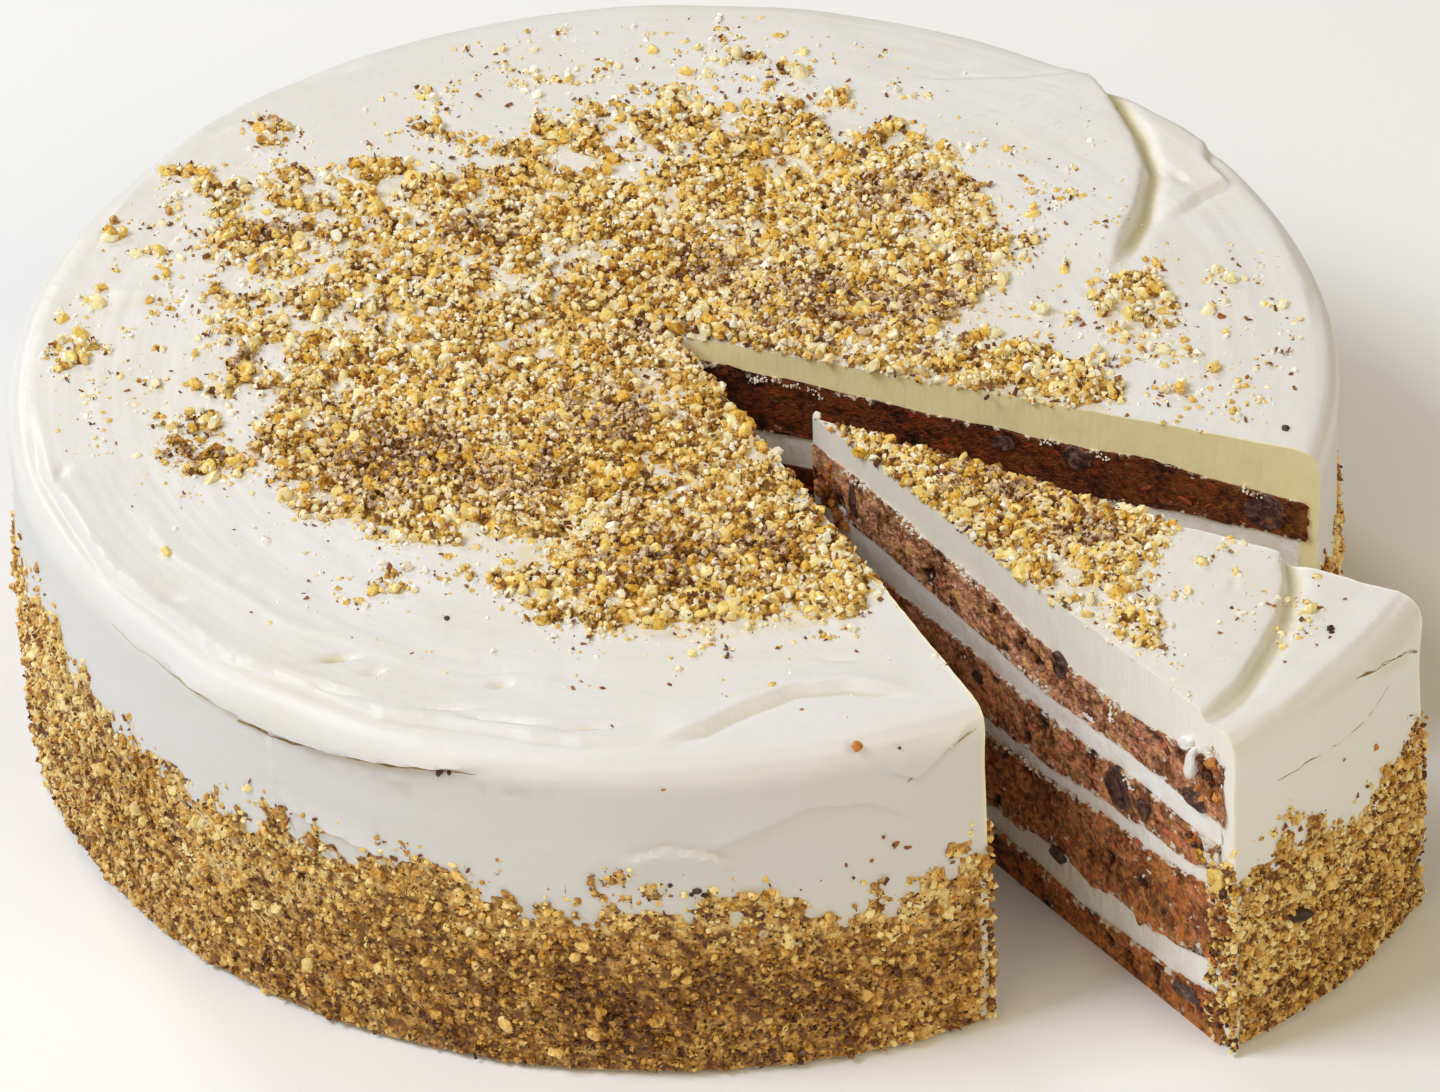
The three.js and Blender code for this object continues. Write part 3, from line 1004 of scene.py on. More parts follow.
@dataclass
class Coat:
    """The coat of frosting on one wedge: its face, its relief and where nuts can lie on it.

    Attributes:
        runs: How closely its wall is cut: where each run ends and its step, both in degrees.
        cell: How closely its top is cut, in millimetres.
        thin: Where sponge shows through the wall.
        rises: Where the nut band's edge swells or dips: its middle and half width in degrees, and how far.
    """

    wedge: Wedge
    finish: Finish
    top_strokes: tuple[Stroke, ...]
    wall_strokes: tuple[Stroke, ...]
    pits: tuple[Pit, ...]
    seed: int
    runs: tuple[tuple[float, float], ...]
    patches: tuple[Patch, ...]
    cell: float = 0.9
    thin: tuple[WallSpot, ...] = ()
    rises: tuple[tuple[float, float, float], ...] = ()

    @property
    def middle(self) -> float:
        """The direction in degrees that the wedge points in."""
        return (self.wedge.start + self.wedge.end) / 2

    def to_own(self, x: Array, y: Array) -> tuple[Array, Array]:
        """The coat's own plan, in which strokes and patches are given: a slice points along its Y."""
        if not self.wedge.own_arc:
            return x, y
        along, across = oval(x, y, self.wedge.apex, self.middle)
        return across, along

    def from_own(self, x: float, y: float) -> tuple[float, float]:
        """Where a point of the coat's own plan lies."""
        if not self.wedge.own_arc:
            return x, y
        cosine, sine = math.cos(math.radians(self.middle)), math.sin(math.radians(self.middle))
        return self.wedge.apex[0] + y * cosine - x * sine, self.wedge.apex[1] + y * sine + x * cosine

    def sweep(self, x: Array, y: Array, height: Array) -> Array:
        """Coordinates that follow the palette knife round the cake: along, across and up."""
        own_x, own_y = self.to_own(x, y)
        seam = -math.pi / 2 if self.wedge.own_arc else math.radians(self.wedge.start - 10)
        angle = (np.arctan2(own_y, own_x) - seam) % (2 * math.pi)
        return np.stack([angle * 110, np.hypot(own_x, own_y), height], axis=-1)

    def top_relief(self, x: Array, y: Array) -> Array:
        """Height of the plateau above HEIGHT."""
        own_x, own_y = self.to_own(x, y)
        flat = at_level(x, y, self.seed)
        swept = self.sweep(x, y, np.full_like(x, 2.0 * self.seed))
        outside = smooth(swept[:, 1], 45, 85)
        relief = 0.3 * lumps(flat, 34, self.seed) + 0.12 * lumps(flat, 9, self.seed + 1)
        relief += 0.3 * smooth(swept[:, 1], 108, 124) * lumps(swept, (16, 40, 9), self.seed + 11)
        relief += outside * (0.16 * lumps(swept, (30, 6.5, 9), self.seed + 8)
                             + 0.06 * lumps(swept, (12, 2.6, 9), self.seed + 9))
        for mark in (*self.top_strokes, *self.pits):
            relief = relief + mark.relief(own_x, own_y)
        return relief

    def wall_relief(self, angle: Array, height: Array) -> Array:
        """How far the wall stands out from its plain face."""
        unrolled = angle * WALL
        flat = at_level(unrolled, height, self.seed)
        relief = 0.4 * lumps(flat, (46, 22, 9), self.seed + 2) + 0.2 * lumps(flat, (18, 5, 9), self.seed + 3)
        relief += 0.05 * lumps(flat, (9, 2.2, 9), self.seed + 4)
        for stroke in self.wall_strokes:
            relief = relief + stroke.relief(unrolled, height)
        return relief

    def top(self, x: Array, y: Array) -> Array:
        """Height of the plateau."""
        return HEIGHT + self.top_relief(x, y)

    def band_top(self, angle: Array) -> Array:
        """Height of the nut band's ragged upper edge."""
        degrees = np.degrees(angle)
        edge = NUT_BAND_TOP + 5.5 * lobe(degrees, -157, 12)
        edge = edge + 1.2 * np.sin(11 * angle) + 1.0 * np.sin(23 * angle + 1)
        for middle, half_width, rise in self.rises:
            edge = edge + rise * lobe(degrees, middle, half_width)
        return edge

    def contour(self) -> tuple[Array, Array]:
        """Distance from the apex and height along the coat's face, from the middle to the foot."""
        corners = np.array([
            (0, HEIGHT), (WALL - 5.2, HEIGHT + 0.35), (WALL - 2.2, HEIGHT - 0.1), (WALL - 0.5, HEIGHT - 1.6),
            (WALL + 0.1, HEIGHT - 4.2), (WALL - 0.1, HEIGHT - 14), (WALL + 0.4, 40), (WALL + 0.4, COAT_FOOT),
        ])
        lengths = measured(corners)
        rim = lengths[1]
        stations = spaced((0, 66, 6), (66, rim - 3, 0.8 * self.cell), (rim - 3, rim + 18, 0.7),
                          (rim + 18, rim + 44, self.cell), (rim + 44, lengths[-1], 6))
        fine = np.linspace(0, lengths[-1], 4000)
        kernel = np.exp(-np.linspace(-2.2, 2.2, 51) ** 2)
        kernel /= kernel.sum()
        rounded = []
        for axis in range(2):
            line = np.interp(fine, lengths, corners[:, axis])
            padded = np.pad(line, 25, mode="reflect", reflect_type="odd")
            rounded.append(np.interp(stations, fine, np.convolve(padded, kernel, mode="valid")))
        return rounded[0], rounded[1]

    def face_points(self, radius: Array, height: Array, angle: Array) -> Array:
        """Places on the coat's face, with its relief."""
        wall = smooth(HEIGHT - height, 0.6, 4.0)
        lean = self.wall_relief(angle, height) * wall
        x, y = self.wedge.plan(radius + lean, angle)
        # The top's relief dies away down the wall.
        level = height + self.top_relief(x, y) * smooth(height, HEIGHT - 8, HEIGHT - 1.5)
        return np.stack([x, y, level], axis=-1)

    def build(self) -> None:
        """Makes the coat as one closed sheet that runs from the middle over the rim to the foot."""
        radius, height = self.contour()
        over_sponge = radius <= SPONGE_RADIUS
        corner = self.wedge.surfaces[-1][-1]
        first = over_sponge.sum()
        down = np.clip((np.arange(len(radius)) - first + 1) / (len(radius) - first), 0, 1)
        lining_radius = np.where(over_sponge, radius, SPONGE_RADIUS + FIT)
        lining_height = np.where(over_sponge, np.interp(radius, STATIONS, self.wedge.surfaces[-1]),
                                 corner + (COAT_FOOT - corner) * down)
        angles = self.wedge.angles(self.runs, (0.25, 0.35, 0.4))
        piece = grid_block(f"{self.wedge.prefix}icing_coat", (len(radius) - 1, len(angles) - 1, 5),
                           hidden=((2, 0),), keep_every=(4, 8, 1))
        station, angle, share = grid_places(piece, np.arange(len(radius)), angles, np.linspace(0, 1, 6))
        outer = self.face_points(radius[station], height[station], angle)
        inner_radius, inner_height = lining_radius[station], lining_height[station]
        x, y = self.wedge.plan(inner_radius, angle)
        sway = layer_sway(np.minimum(inner_radius, SPONGE_RADIUS), inner_height, angle)
        inner = np.stack([x, y, inner_height + sway * over_sponge[station] + FIT / 2], axis=-1)
        inner[:, 2] -= 0.9 * over_sponge[station]
        points = inner + (outer - inner) * share[:, None]
        cut = np.clip(1 - np.minimum(angle - angles[0], angles[-1] - angle) / math.radians(0.3), 0, 1)
        wiped = -0.35 + 0.16 * lumps(points, (2.5, 2.5, 12), self.seed + 5)
        write_points(piece, self.wedge.push_faces(points, wiped))
        write_attribute(piece, "cut", cut)
        side = smooth(radius[station], SPONGE_RADIUS, SPONGE_RADIUS + 2) * smooth(HEIGHT - outer[:, 2], 3, 8)
        self.mark(piece, outer, angle, side)
        weld(piece)
        dress(piece, 50, self.finish, "icing", f"{self.wedge.prefix}icing")

    def mark(self, piece: Piece, outer: Array, angle: Array, side: Array) -> None:
        """Stores for the finish where the coat has nut oil and painted bounce light, where painted shade
        fills its creases, and where it is thin.

        Args:
            piece: The coat's mesh.
            outer: For each vertex, the place on the coat's face.
            angle: Its angle in radians.
            side: How far it belongs to the wall, from 0 to 1.
        """
        x, y, height = outer.T
        own_x, own_y = self.to_own(x, y)
        strewn = np.max([patch.cover(own_x, own_y) for patch in self.patches], axis=0)
        # Oil from the nuts tints the wall below the band; on the top, where nuts lie, the same tint is
        # painted warm bounce light.
        stain = side * smooth(self.band_top(angle) - height, 5, 14)
        stain = stain + 0.6 * (1 - side) * smooth(strewn, 0.6, 0.95)
        marks = sum(mark.relief(own_x, own_y) for mark in (*self.top_strokes, *self.pits))
        wall_marks = sum(stroke.relief(angle * WALL, height) for stroke in self.wall_strokes)
        # Painted shade in the hollows of the knife marks, on the top and on the wall.
        crease = (1 - side) * smooth(-marks, 0.15, 1.5) + side * smooth(-wall_marks, 0.08, 0.8)
        thin = sum((spot.cover(angle, height) for spot in self.thin), np.zeros(len(angle)))
        write_vectors(piece, "sweep", self.sweep(x, y, height))
        for name, amount in (("stain", np.clip(stain, 0, 1)), ("crease", np.clip(crease, 0, 1)),
                             ("side", side), ("thin", side * np.clip(thin, 0, 1))):
            write_attribute(piece, name, amount)


@dataclass
class Crack:
    """A thin tear in a coat's wall: painted shadow under its lip, with darker crumb showing through.

    Attributes:
        path: Corners in degrees and height.
        width: Its width where it is widest.
        depth: How dark its painted shadow is, from 0 to 1.
        proud: How far it stands out of the wall, so that it shows.
    """

    name: str
    coat: Coat
    path: tuple[tuple[float, float], ...]
    width: float
    seed: int
    depth: float = 0.35
    proud: float = 0.08

    def build(self) -> None:
        """Lays a closed sliver of uneven width along the path."""
        corners = np.array(self.path)
        lengths = measured(corners * (math.radians(1) * WALL, 1))
        steps = max(12, round(lengths[-1] / 0.7))
        piece = grid_block(self.name, (steps, 2, 1))
        run, across, share = grid_places(
            piece, np.linspace(0, lengths[-1], steps + 1), np.array([-1.0, 0, 1]), np.array([0.0, 1]))
        line = at_level(run, np.full_like(run, self.seed))
        taper = np.sqrt(np.sin(math.pi * np.clip(run / lengths[-1], 0.004, 0.996)))
        width = self.width * taper * (0.75 + 0.6 * lumps(line, (2.6, 1, 1), self.seed))
        width = np.maximum(width, 0.1)
        height = (np.interp(run, lengths, corners[:, 1]) + 0.35 * lumps(line, (4, 1, 1), self.seed + 1)
                  + 0.2 * lumps(line, (1.5, 1, 1), self.seed + 2) + across * width / 2)
        angle = np.radians(np.interp(run, lengths, corners[:, 0]))
        contour_radius, contour_height = self.coat.contour()
        wall = contour_radius > SPONGE_RADIUS + 1.5
        order = np.argsort(contour_height[wall])
        plain = np.interp(height, contour_height[wall][order], contour_radius[wall][order])
        lift = np.where(share > 0.5, self.proud * (1 - 0.6 * np.abs(across)), -0.5)
        write_points(piece, self.coat.face_points(plain, height, angle) + outward(angle) * lift[:, None])
        # The tone paints the shadow inside the tear, with the darker crumb in it.
        write_attribute(piece, "tone", self.depth + 0.3 * lumps(line, (3, 1, 1), self.seed + 3))
        weld(piece)
        dress(piece, 40, CRACK, "icing")


# --- Layers ---

@dataclass
class Layer:
    """One layer of sponge or filling in a wedge, finely cut only where a knife has opened it.

    Attributes:
        index: Its place from the bottom, counted from 0; layers take turns, sponge first.
        cell: How closely it is cut along and up the face, in millimetres.
        moist: How dark and damp its crumb is, from 0 to 1.
        reach: How far the crumb is dragged out over the coat where it is cut.
        torn: How rough its cut face is; a moist crumb cuts smoother.
        smeared_from: Distance from the apex past which frosting and nut hide the cut crumb.
    """

    wedge: Wedge
    index: int
    seed: int
    cell: float
    moist: float
    reach: float
    smeared_from: float
    torn: float
    finish: Finish

    @property
    def is_sponge(self) -> bool:
        """Whether it is sponge and not filling."""
        return self.index % 2 == 0

    @property
    def node(self) -> str:
        """The layer's node in the frame."""
        kind = "sponge" if self.is_sponge else "filling"
        return f"{self.wedge.prefix}{kind}_{self.index // 2 + 1}"

    def build(self) -> None:
        """Makes the layer as a block bent round the apex."""
        surfaces = self.wedge.surfaces
        thickness = np.mean(np.subtract(surfaces[self.index + 1], surfaces[self.index]))
        rows = max(6, round(thickness / (self.cell if self.is_sponge else 1.0)))
        radii = spaced((0, SPONGE_RADIUS, self.cell))
        angles = self.wedge.angles(((self.wedge.end, 4.0 if self.wedge.own_arc else 7.0),), (0.8, 1.6))
        piece = grid_block(f"{self.node}_crumb" if self.is_sponge else f"{self.node}_cream",
                           (len(radii) - 1, len(angles) - 1, rows),
                           hidden=((0, 1), (2, 0), (2, 1)), keep_every=(16, 1, 8))
        radius, angle, share = grid_places(piece, radii, angles, np.linspace(0, 1, rows + 1))
        opened = np.minimum(angle - angles[0], angles[-1] - angle) < math.radians(0.1)
        rough = at_level(share * thickness, angle * 40, self.seed)
        drag = self.reach if self.is_sponge else 0.8
        drag = np.clip(drag + 0.9 * lumps(rough, 2.6, 51) + 0.5 * lumps(rough, 1.1, 52), 0.4, 3.2)
        x, y = self.wedge.plan(
            radius + drag * opened * smooth(radius, SPONGE_RADIUS - 7, SPONGE_RADIUS), angle)
        low = layer_surface(self.wedge, self.index, radius, angle) + self.ragged(x, y, self.index)
        high = layer_surface(self.wedge, self.index + 1, radius, angle) + self.ragged(x, y, self.index + 1)
        if not self.is_sponge:
            # Frosting runs on into the ragged edges of the sponge.
            low, high = low - 1.1, high + 1.1
        points = np.stack([x, y, low + (high - low) * share], axis=-1)
        relief = self.face_relief(points, share)
        write_points(piece, self.wedge.push_faces(points, relief))
        if self.is_sponge:
            edge = np.minimum(share if self.index else 1.0, 1 - share) * thickness
            smeared = 1.4 * smooth(radius, self.smeared_from, self.smeared_from + 2.5)
            write_attribute(piece, "rim", smooth(radius, 84, 121) * (1.0 if self.index < 3 else 0.3))
            write_attribute(piece, "bake", np.full(len(points), self.moist))
            # Painted shade: the crumb's tone darkens where its torn face dips in.
            write_attribute(piece, "hollow", smooth(-relief, -0.2, 1.5))
            write_attribute(piece, "border", np.exp(-edge / 1.1) + smeared)
        weld(piece)
        finish, slot = (self.finish, "sponge") if self.is_sponge else (CUT_FROSTING, "filling")
        dress(piece, 45, finish, slot, self.node)

    def ragged(self, x: Array, y: Array, surface: int) -> Array:
        """Uneven edge where frosting has sunk into the crumb; both layers at a surface share it."""
        if surface == 0 or not self.is_sponge:
            return np.zeros_like(x)
        flat = at_level(x, y, surface * 9.7)
        if surface == 2:
            # Tongues of sponge hang down into the lowest filling.
            tongue = 3.0 * np.maximum(lumps(flat, 9, 29), 0) + 1.2 * lumps(flat, 3.2, 33)
            return tongue + 0.6 * lumps(flat, 1.4, 43)
        return 0.6 * lumps(flat, 5.5, 31 + surface) + 0.5 * lumps(flat, 1.8, 41 + surface)

    def face_relief(self, points: Array, share: Array) -> Array:
        """How far the cut face stands out at each place."""
        if not self.is_sponge:
            return -0.4 + 0.14 * lumps(points, (3, 3, 9), self.seed) + 0.1 * lumps(points, 1.6, self.seed + 4)
        coarse, _ = grains(points, 2.3, self.seed)
        fine, _ = grains(points, 1.1, self.seed + 1)
        tears = np.clip(lumps(points, 4.0, self.seed + 2) - 0.4, 0, 1)
        border = smooth(np.minimum(share, 1 - share), 0, 0.05)
        return self.torn * (0.7 - 0.7 * coarse - 0.6 * fine - 2.2 * tears) * border + 0.1


# --- Chopped nuts ---

CAKE_PATCHES = tuple(Patch(*row) for row in (
    (-38, -28, 38, 26, 1.12, 0, 0.3), (26, 16, 34, 15, 1.12, 0, 0.3), (4, -62, 36, 22, 1.05, 0, 0.3),
    (-26, -20, 56, 46, 0.92, 0, 0.2), (8, -56, 46, 40, 0.87, 0, 0.22), (-32, 30, 52, 42, 0.84, 0, 0.22),
    (26, 34, 44, 44, 0.92, 0, 0.22), (4, 68, 48, 26, 0.72, 0, 0.3), (-68, 50, 36, 24, 0.72, -22, 0.3),
    (16, 98, 32, 20, 0.56, -10, 0.4), (-36, 104, 9, 16, 0.46, 0, 0.5), (-83, 80, 8, 7, 0.62, 0, 0.5),
    (-52, 74, 16, 8, 0.6, 0, 0.4), (60, -10, 30, 11, 0.92, -28, 0.25), (71, 12, 6, 9, 0.66, 0, 0.25),
    (90, 12, 10, 14, 0.84, 0, 0.25), (60, 56, 14, 18, 0.55, 0, 0.25), (-114, 4, 11, 8, 0.56, 0, 0.5),
    (-112, 20, 7, 6, 0.5, 0, 0.25), (-90, -27, 12, 10, 0.68, 0, 0.25), (-84, -4, 8, 9, 0.66, 0, 0.25),
    (-80, 18, 12, 20, 0.66, 0, 0.25), (-106, 46, 6, 6, 0.66, 0, 0.25), (-98, 60, 10, 8, 0.55, 0, 0.25),
    (-92, 4, 34, 50, 0.4, 0, 0.25), (-46, -72, 24, 12, 0.5, 0, 0.5), (10, -88, 40, 12, 0.52, 0, 0.5),
    (96, 0, 30, 42, 0.42, 0, 0.25), (66, 34, 22, 34, 0.4, 0, 0.25), (0, 92, 62, 30, 0.4, 0, 0.25),
    (0, 0, 118, 116, 0.2, 0, 0.1),
))
SLICE_PATCHES = tuple(Patch(*row) for row in (
    (6, 40, 22, 38, 1.05, 0, 0.2), (0, 40, 30, 44, 0.78, 0, 0.15), (-15, 88, 8, 12, 0.74, 0, 0.4),
    (4, 78, 20, 6, 0.5, 0, 0.25), (0, 66, 40, 54, 0.3, 0, 0.25),
))
# Where the crumbs are fine, grey-brown and powdery.
FLOURY = tuple(Patch(x, y, reach, reach * 0.8, 1.0, 0, 0.6) for x, y, reach in (
    (-88, -28, 8), (-52, -34, 17), (-30, -42, 12), (-12, -20, 11), (-4, -66, 11), (18, -66, 8),
    (30, 16, 15), (52, 12, 9), (45, 52, 9), (8, 28, 8), (-75, 45, 7), (-80, 83, 6), (-82, 0, 5),
    (-72, -14, 6), (-40, 42, 5), (62, 24, 6), (60, -45, 9), (78, -62, 8), (95, -80, 5), (-2, 8, 6),
))


def random_turns(rng: np.random.Generator, count: int) -> Array:
    """Rotation matrices turned at random, shaped (count, 3, 3)."""
    quaternion = rng.normal(size=(count, 4))
    w, x, y, z = (quaternion / np.linalg.norm(quaternion, axis=1, keepdims=True)).T
    return np.stack([
        np.stack([1 - 2 * (y * y + z * z), 2 * (x * y - z * w), 2 * (x * z + y * w)], -1),
        np.stack([2 * (x * y + z * w), 1 - 2 * (x * x + z * z), 2 * (y * z - x * w)], -1),
        np.stack([2 * (x * z - y * w), 2 * (y * z + x * w), 1 - 2 * (x * x + y * y)], -1),
    ], axis=1)


class Cut(Enum):
    """How a chip broke: fine grit, a rounded grain, a knobbly nugget or a thin flake of skin."""

    GRIT = "grit"
    GRAIN = "grain"
    NUGGET = "nugget"
    FLAKE = "flake"


def chip_shapes(cut: Cut, count: int, seed: int) -> tuple[Array, Array]:
    """Models a few broken chips, to be copied many times.

    Args:
        cut: How the chips broke.
        count: How many shapes to model.
        seed: Picks the shapes.

    Returns:
        Their vertices, shaped (count, n, 3), in units of a chip's size, and their shared triangles.
    """
    rng = np.random.default_rng(seed)
    # How uneven the corners are, and the least and greatest length, width and thickness.
    rough, least, most = {
        Cut.FLAKE: (0.25, (0.9, 0.5, 0.22), (1.5, 0.9, 0.4)),
        Cut.GRIT: (0.3, (0.95, 0.75, 0.65), (1.3, 1.1, 0.95)),
    }.get(cut, (0.2, (0.95, 0.72, 0.6), (1.35, 1.05, 0.9)))
    shapes = []
    for _ in range(count):
        select_nothing()
        if cut in (Cut.FLAKE, Cut.GRIT):
            bpy.ops.mesh.primitive_cube_add(size=0.8 if cut is Cut.FLAKE else 0.68)
        else:
            bpy.ops.mesh.primitive_ico_sphere_add(subdivisions=2 if cut is Cut.NUGGET else 1, radius=0.5)
        chip = bpy.context.object
        bpy.ops.object.transform_apply(location=True, rotation=True, scale=True)
        bpy.ops.object.mode_set(mode="EDIT")
        bpy.ops.mesh.quads_convert_to_tris()
        bpy.ops.object.mode_set(mode="OBJECT")
        points = read_points(chip)
        points *= 1 + rng.uniform(-rough, rough, size=(len(points), 1))
        if cut is Cut.NUGGET:
            points *= 1 + 0.3 * lumps(points + rng.uniform(0, 50, 3), 0.42, seed)[:, None]
        points *= rng.uniform(least, most)
        shapes.append(points)
        faces = np.array([tuple(face.vertices) for face in chip.data.polygons])
        bpy.data.objects.remove(chip)
    return np.stack(shapes), faces


@dataclass
class Scatter:
    """Chips of one kind on one wedge, joined into one mesh."""

    name: str
    finish: Finish
    shapes: tuple[Array, Array]
    seed: int
    slot: str = "chopped_nuts"

    def build(self, places: Array, sizes: Array, tones: Array) -> None:
        """Copies a chip to each place.

        Args:
            places: Middles of the chips, shaped (n, 3).
            sizes: Their sizes in millimetres.
            tones: Their tones from 0 to 1.
        """
        rng = np.random.default_rng(self.seed)
        shapes, faces = self.shapes
        chosen = shapes[rng.integers(len(shapes), size=len(places))]
        turned = np.einsum("nij,nvj->nvi", random_turns(rng, len(places)), chosen)
        points = turned * sizes[:, None, None] + places[:, None, :]
        points[:, :, 2] = np.maximum(points[:, :, 2], 0.1)
        per_chip = points.shape[1]
        all_faces = faces[None] + (np.arange(len(places)) * per_chip)[:, None, None]
        mesh = bpy.data.meshes.new(self.name)
        mesh.from_pydata((points.reshape(-1, 3) * METRES).tolist(), [], all_faces.reshape(-1, 3).tolist())
        piece = bpy.data.objects.new(self.name, mesh)
        bpy.context.collection.objects.link(piece)
        write_attribute(piece, "tone", np.repeat(tones, per_chip))
        dress(piece, 38, self.finish, self.slot)


@dataclass(frozen=True)
class Strewn:
    """How one kind of chip is strewn.

    Attributes:
        finish: What it is made of on the top.
        pressed: What it is made of where it is pressed into the side.
        per_top: How many lie on the top of a whole cake.
        per_side: How many are pressed into its side.
        sizes: The smallest and the largest, in millimetres.
        gather: How much it keeps to where nuts lie thick; 1 is as thickly as they do.
        sink: How deep it sits, as a share of its size.
        powdery: Whether it lies only where crumbs are powdery.
    """

    kind: str
    finish: Finish
    pressed: Finish
    cut: Cut
    per_top: int
    per_side: int
    sizes: tuple[float, float]
    gather: float = 1.0
    sink: float = 0.08
    powdery: bool = False


STREWN = (
    Strewn("meal", NUT_MEAL, NUT_PRESSED, Cut.GRAIN, 6900, 5700, (1.2, 2.75)),
    Strewn("grit", NUT_MEAL, NUT_PRESSED, Cut.GRIT, 11200, 9700, (0.68, 1.5), 0.85),
    Strewn("chips", NUT_CHIP, NUT_PRESSED, Cut.NUGGET, 980, 330, (2.0, 4.0), 1.6),
    Strewn("skin", NUT_SKIN, NUT_SKIN, Cut.FLAKE, 6100, 7200, (0.45, 1.6), 1.0, -0.2),
    Strewn("flour", NUT_FLOUR, NUT_PRESSED, Cut.GRIT, 4200, 700, (0.68, 1.6), 1.0, -0.05, True),
)


@dataclass
class Nuts:
    """The nuts on one coat: a bed of ground nut where they lie thick, and loose chips on top."""

    coat: Coat
    seed: int

    @property
    def name(self) -> str:
        """What the pieces' names begin with."""
        return f"{self.coat.wedge.prefix}nut"

    @staticmethod
    def unrolled(angle: Array, height: Array) -> Array:
        """Places on the wall laid flat, for noise to read."""
        return at_level(angle * 128, height, 3.0)

    @staticmethod
    def clumped(points: Array, size: float, seed: int) -> Array:
        """Noise from 0 to 1 that decides where crumbs cling together."""
        noise = 0.7 * lumps(points, size, seed) + 0.6 * lumps(points, size * 0.45, seed + 1)
        return 0.5 + 0.5 * np.clip(noise * 1.4, -1, 1)

    def cover(self, x: Array, y: Array) -> Array:
        """How thickly nuts lie on the plateau, from 0 to 1, in clumps."""
        own_x, own_y = self.coat.to_own(x, y)
        flat = at_level(x, y, 5.0)
        wander_x = 5 * lumps(flat, 16, 75) + 3 * lumps(flat, 6, 77)
        wander_y = 5 * lumps(flat, 16, 76) + 3 * lumps(flat, 6, 78)
        own_x, own_y = own_x + wander_x, own_y + wander_y
        thick = np.max([patch.cover(own_x, own_y) for patch in self.coat.patches], axis=0)
        clumps = smooth(thick + 0.62 * (self.clumped(flat, 5.5, 71) - 0.5), 0.32, 1.0)
        return np.clip(clumps + 0.05 * smooth(thick, 0.05, 0.5), 0, 1)

    @staticmethod
    def richness(x: Array, y: Array) -> Array:
        """How brown and fine the crumbs are, from 0 to 1."""
        floury = np.max([patch.cover(x, y) for patch in FLOURY], axis=0)
        return np.clip(0.8 * floury + 0.35 * lumps(at_level(x, y), 16, 74), 0, 1)

    def bed_height(self, x: Array, y: Array) -> Array:
        """How high the bed stands above the frosting; below nought it is hidden."""
        flat = at_level(x, y)
        mound, own = grains(flat, 5.2, 79)
        coarse, _ = grains(flat, 2.1, 80)
        cover = self.cover(x, y)
        heap = 0.3 + 1.5 * np.clip((0.95 - mound) * (0.4 + 1.1 * own), 0, 1) + 0.7 * (0.75 - coarse)
        margin = np.minimum(*(self.coat.wedge.depth(flat * (1, 1, 0), side) for side in Side))
        shown = smooth(cover, 0.5, 0.95) * smooth(margin, 0.6, 1.8)
        return heap * shown - 1.2 * (1 - shown)

    def build_bed(self) -> None:
        """Makes the bed as a thin closed sheet that dips under the frosting at its edges."""
        wedge = self.coat.wedge
        fine = 0.7 if wedge.own_arc else 0.85
        radii = spaced((1.0, 92, fine), (92, 124, 1.5))
        angles = wedge.even(fine, 64)
        piece = grid_block(f"{self.name}_bed_top", (len(radii) - 1, len(angles) - 1, 1),
                           hidden=((2, 0),), keep_every=(9, 12, 1))
        radius, angle, share = grid_places(piece, radii, angles, np.array([0.0, 1.0]))
        x, y = wedge.plan(radius * NUT_REACH / 124, angle)
        top = self.coat.top(x, y)
        height = np.where(share > 0.5, np.minimum(top + self.bed_height(x, y), CEILING), top - 2.5)
        points = np.stack([x, y, height], axis=-1)
        write_points(piece, wedge.push_faces(points, np.full_like(x, -1.4), 1.6))
        gap, own = grains(at_level(x, y), 2.1, 80)
        write_attribute(piece, "tone", 0.1 + 0.5 * own + 0.35 * self.richness(x, y))
        # Painted shade in the gaps between grains.
        write_attribute(piece, "gap", smooth(gap, 0.4, 0.85))
        weld(piece)
        dress(piece, 60, NUT_BED, "chopped_nuts")

    def band_cover(self, angle: Array, height: Array) -> Array:
        """How thickly nuts lie on the side, from 0 to 1."""
        unrolled = self.unrolled(angle, height)
        edge = self.coat.band_top(angle) + 2.5 + 2.0 * lumps(unrolled, 5, 85)
        sparse = 0.2 * lobe(np.degrees(angle), -79, 12) * smooth(height, 24, 34)
        solid = 1.12 - smooth(height, edge - 14, edge + 11) - sparse - 0.12 * smooth(height, 20, 30)
        clump = self.clumped(unrolled, 3.6, 87)
        return smooth(solid, 0.1, 0.3) * smooth(solid + 0.66 * (clump - 0.5), 0.26, 0.8)

    def band_bed_radius(self, angle: Array, height: Array) -> Array:
        """Distance from the apex to the band's bumpy face."""
        unrolled = self.unrolled(angle, height)
        start, end = math.radians(self.coat.wedge.start), math.radians(self.coat.wedge.end)
        margin = np.minimum(angle - start, end - angle)
        cover = smooth(self.band_cover(angle, height), 0.4, 0.85) * smooth(margin * SPONGE_RADIUS, 0.6, 1.8)
        mound, own = grains(unrolled, 5.6, 88)
        coarse, _ = grains(unrolled, 2.2, 89)
        lift = 0.45 + 0.6 * np.clip((0.95 - mound) * (0.6 + 0.8 * own), 0, 1) + 0.35 * (0.75 - coarse)
        lift = lift * (0.5 + 0.5 * smooth(46 - height, 0, 14))
        return WALL + self.coat.wall_relief(angle, height) + cover * lift - 1.0 * (1 - cover)

    def band_browning_and_shade(self, angle: Array, height: Array) -> Array:
        """How much browner than the palest the band is: partly fat soaked in, and partly painted shade, low
        down and at the front most.
        """
        front = 0.0 if self.coat.wedge.own_arc else lobe(np.degrees(angle), -92, 26)
        low = smooth(40 - height, 0, 24)
        drift = lumps(self.unrolled(angle, height), 9, 82)
        return 0.02 + 0.12 * low + front * (0.06 + 0.3 * low) + 0.18 * drift

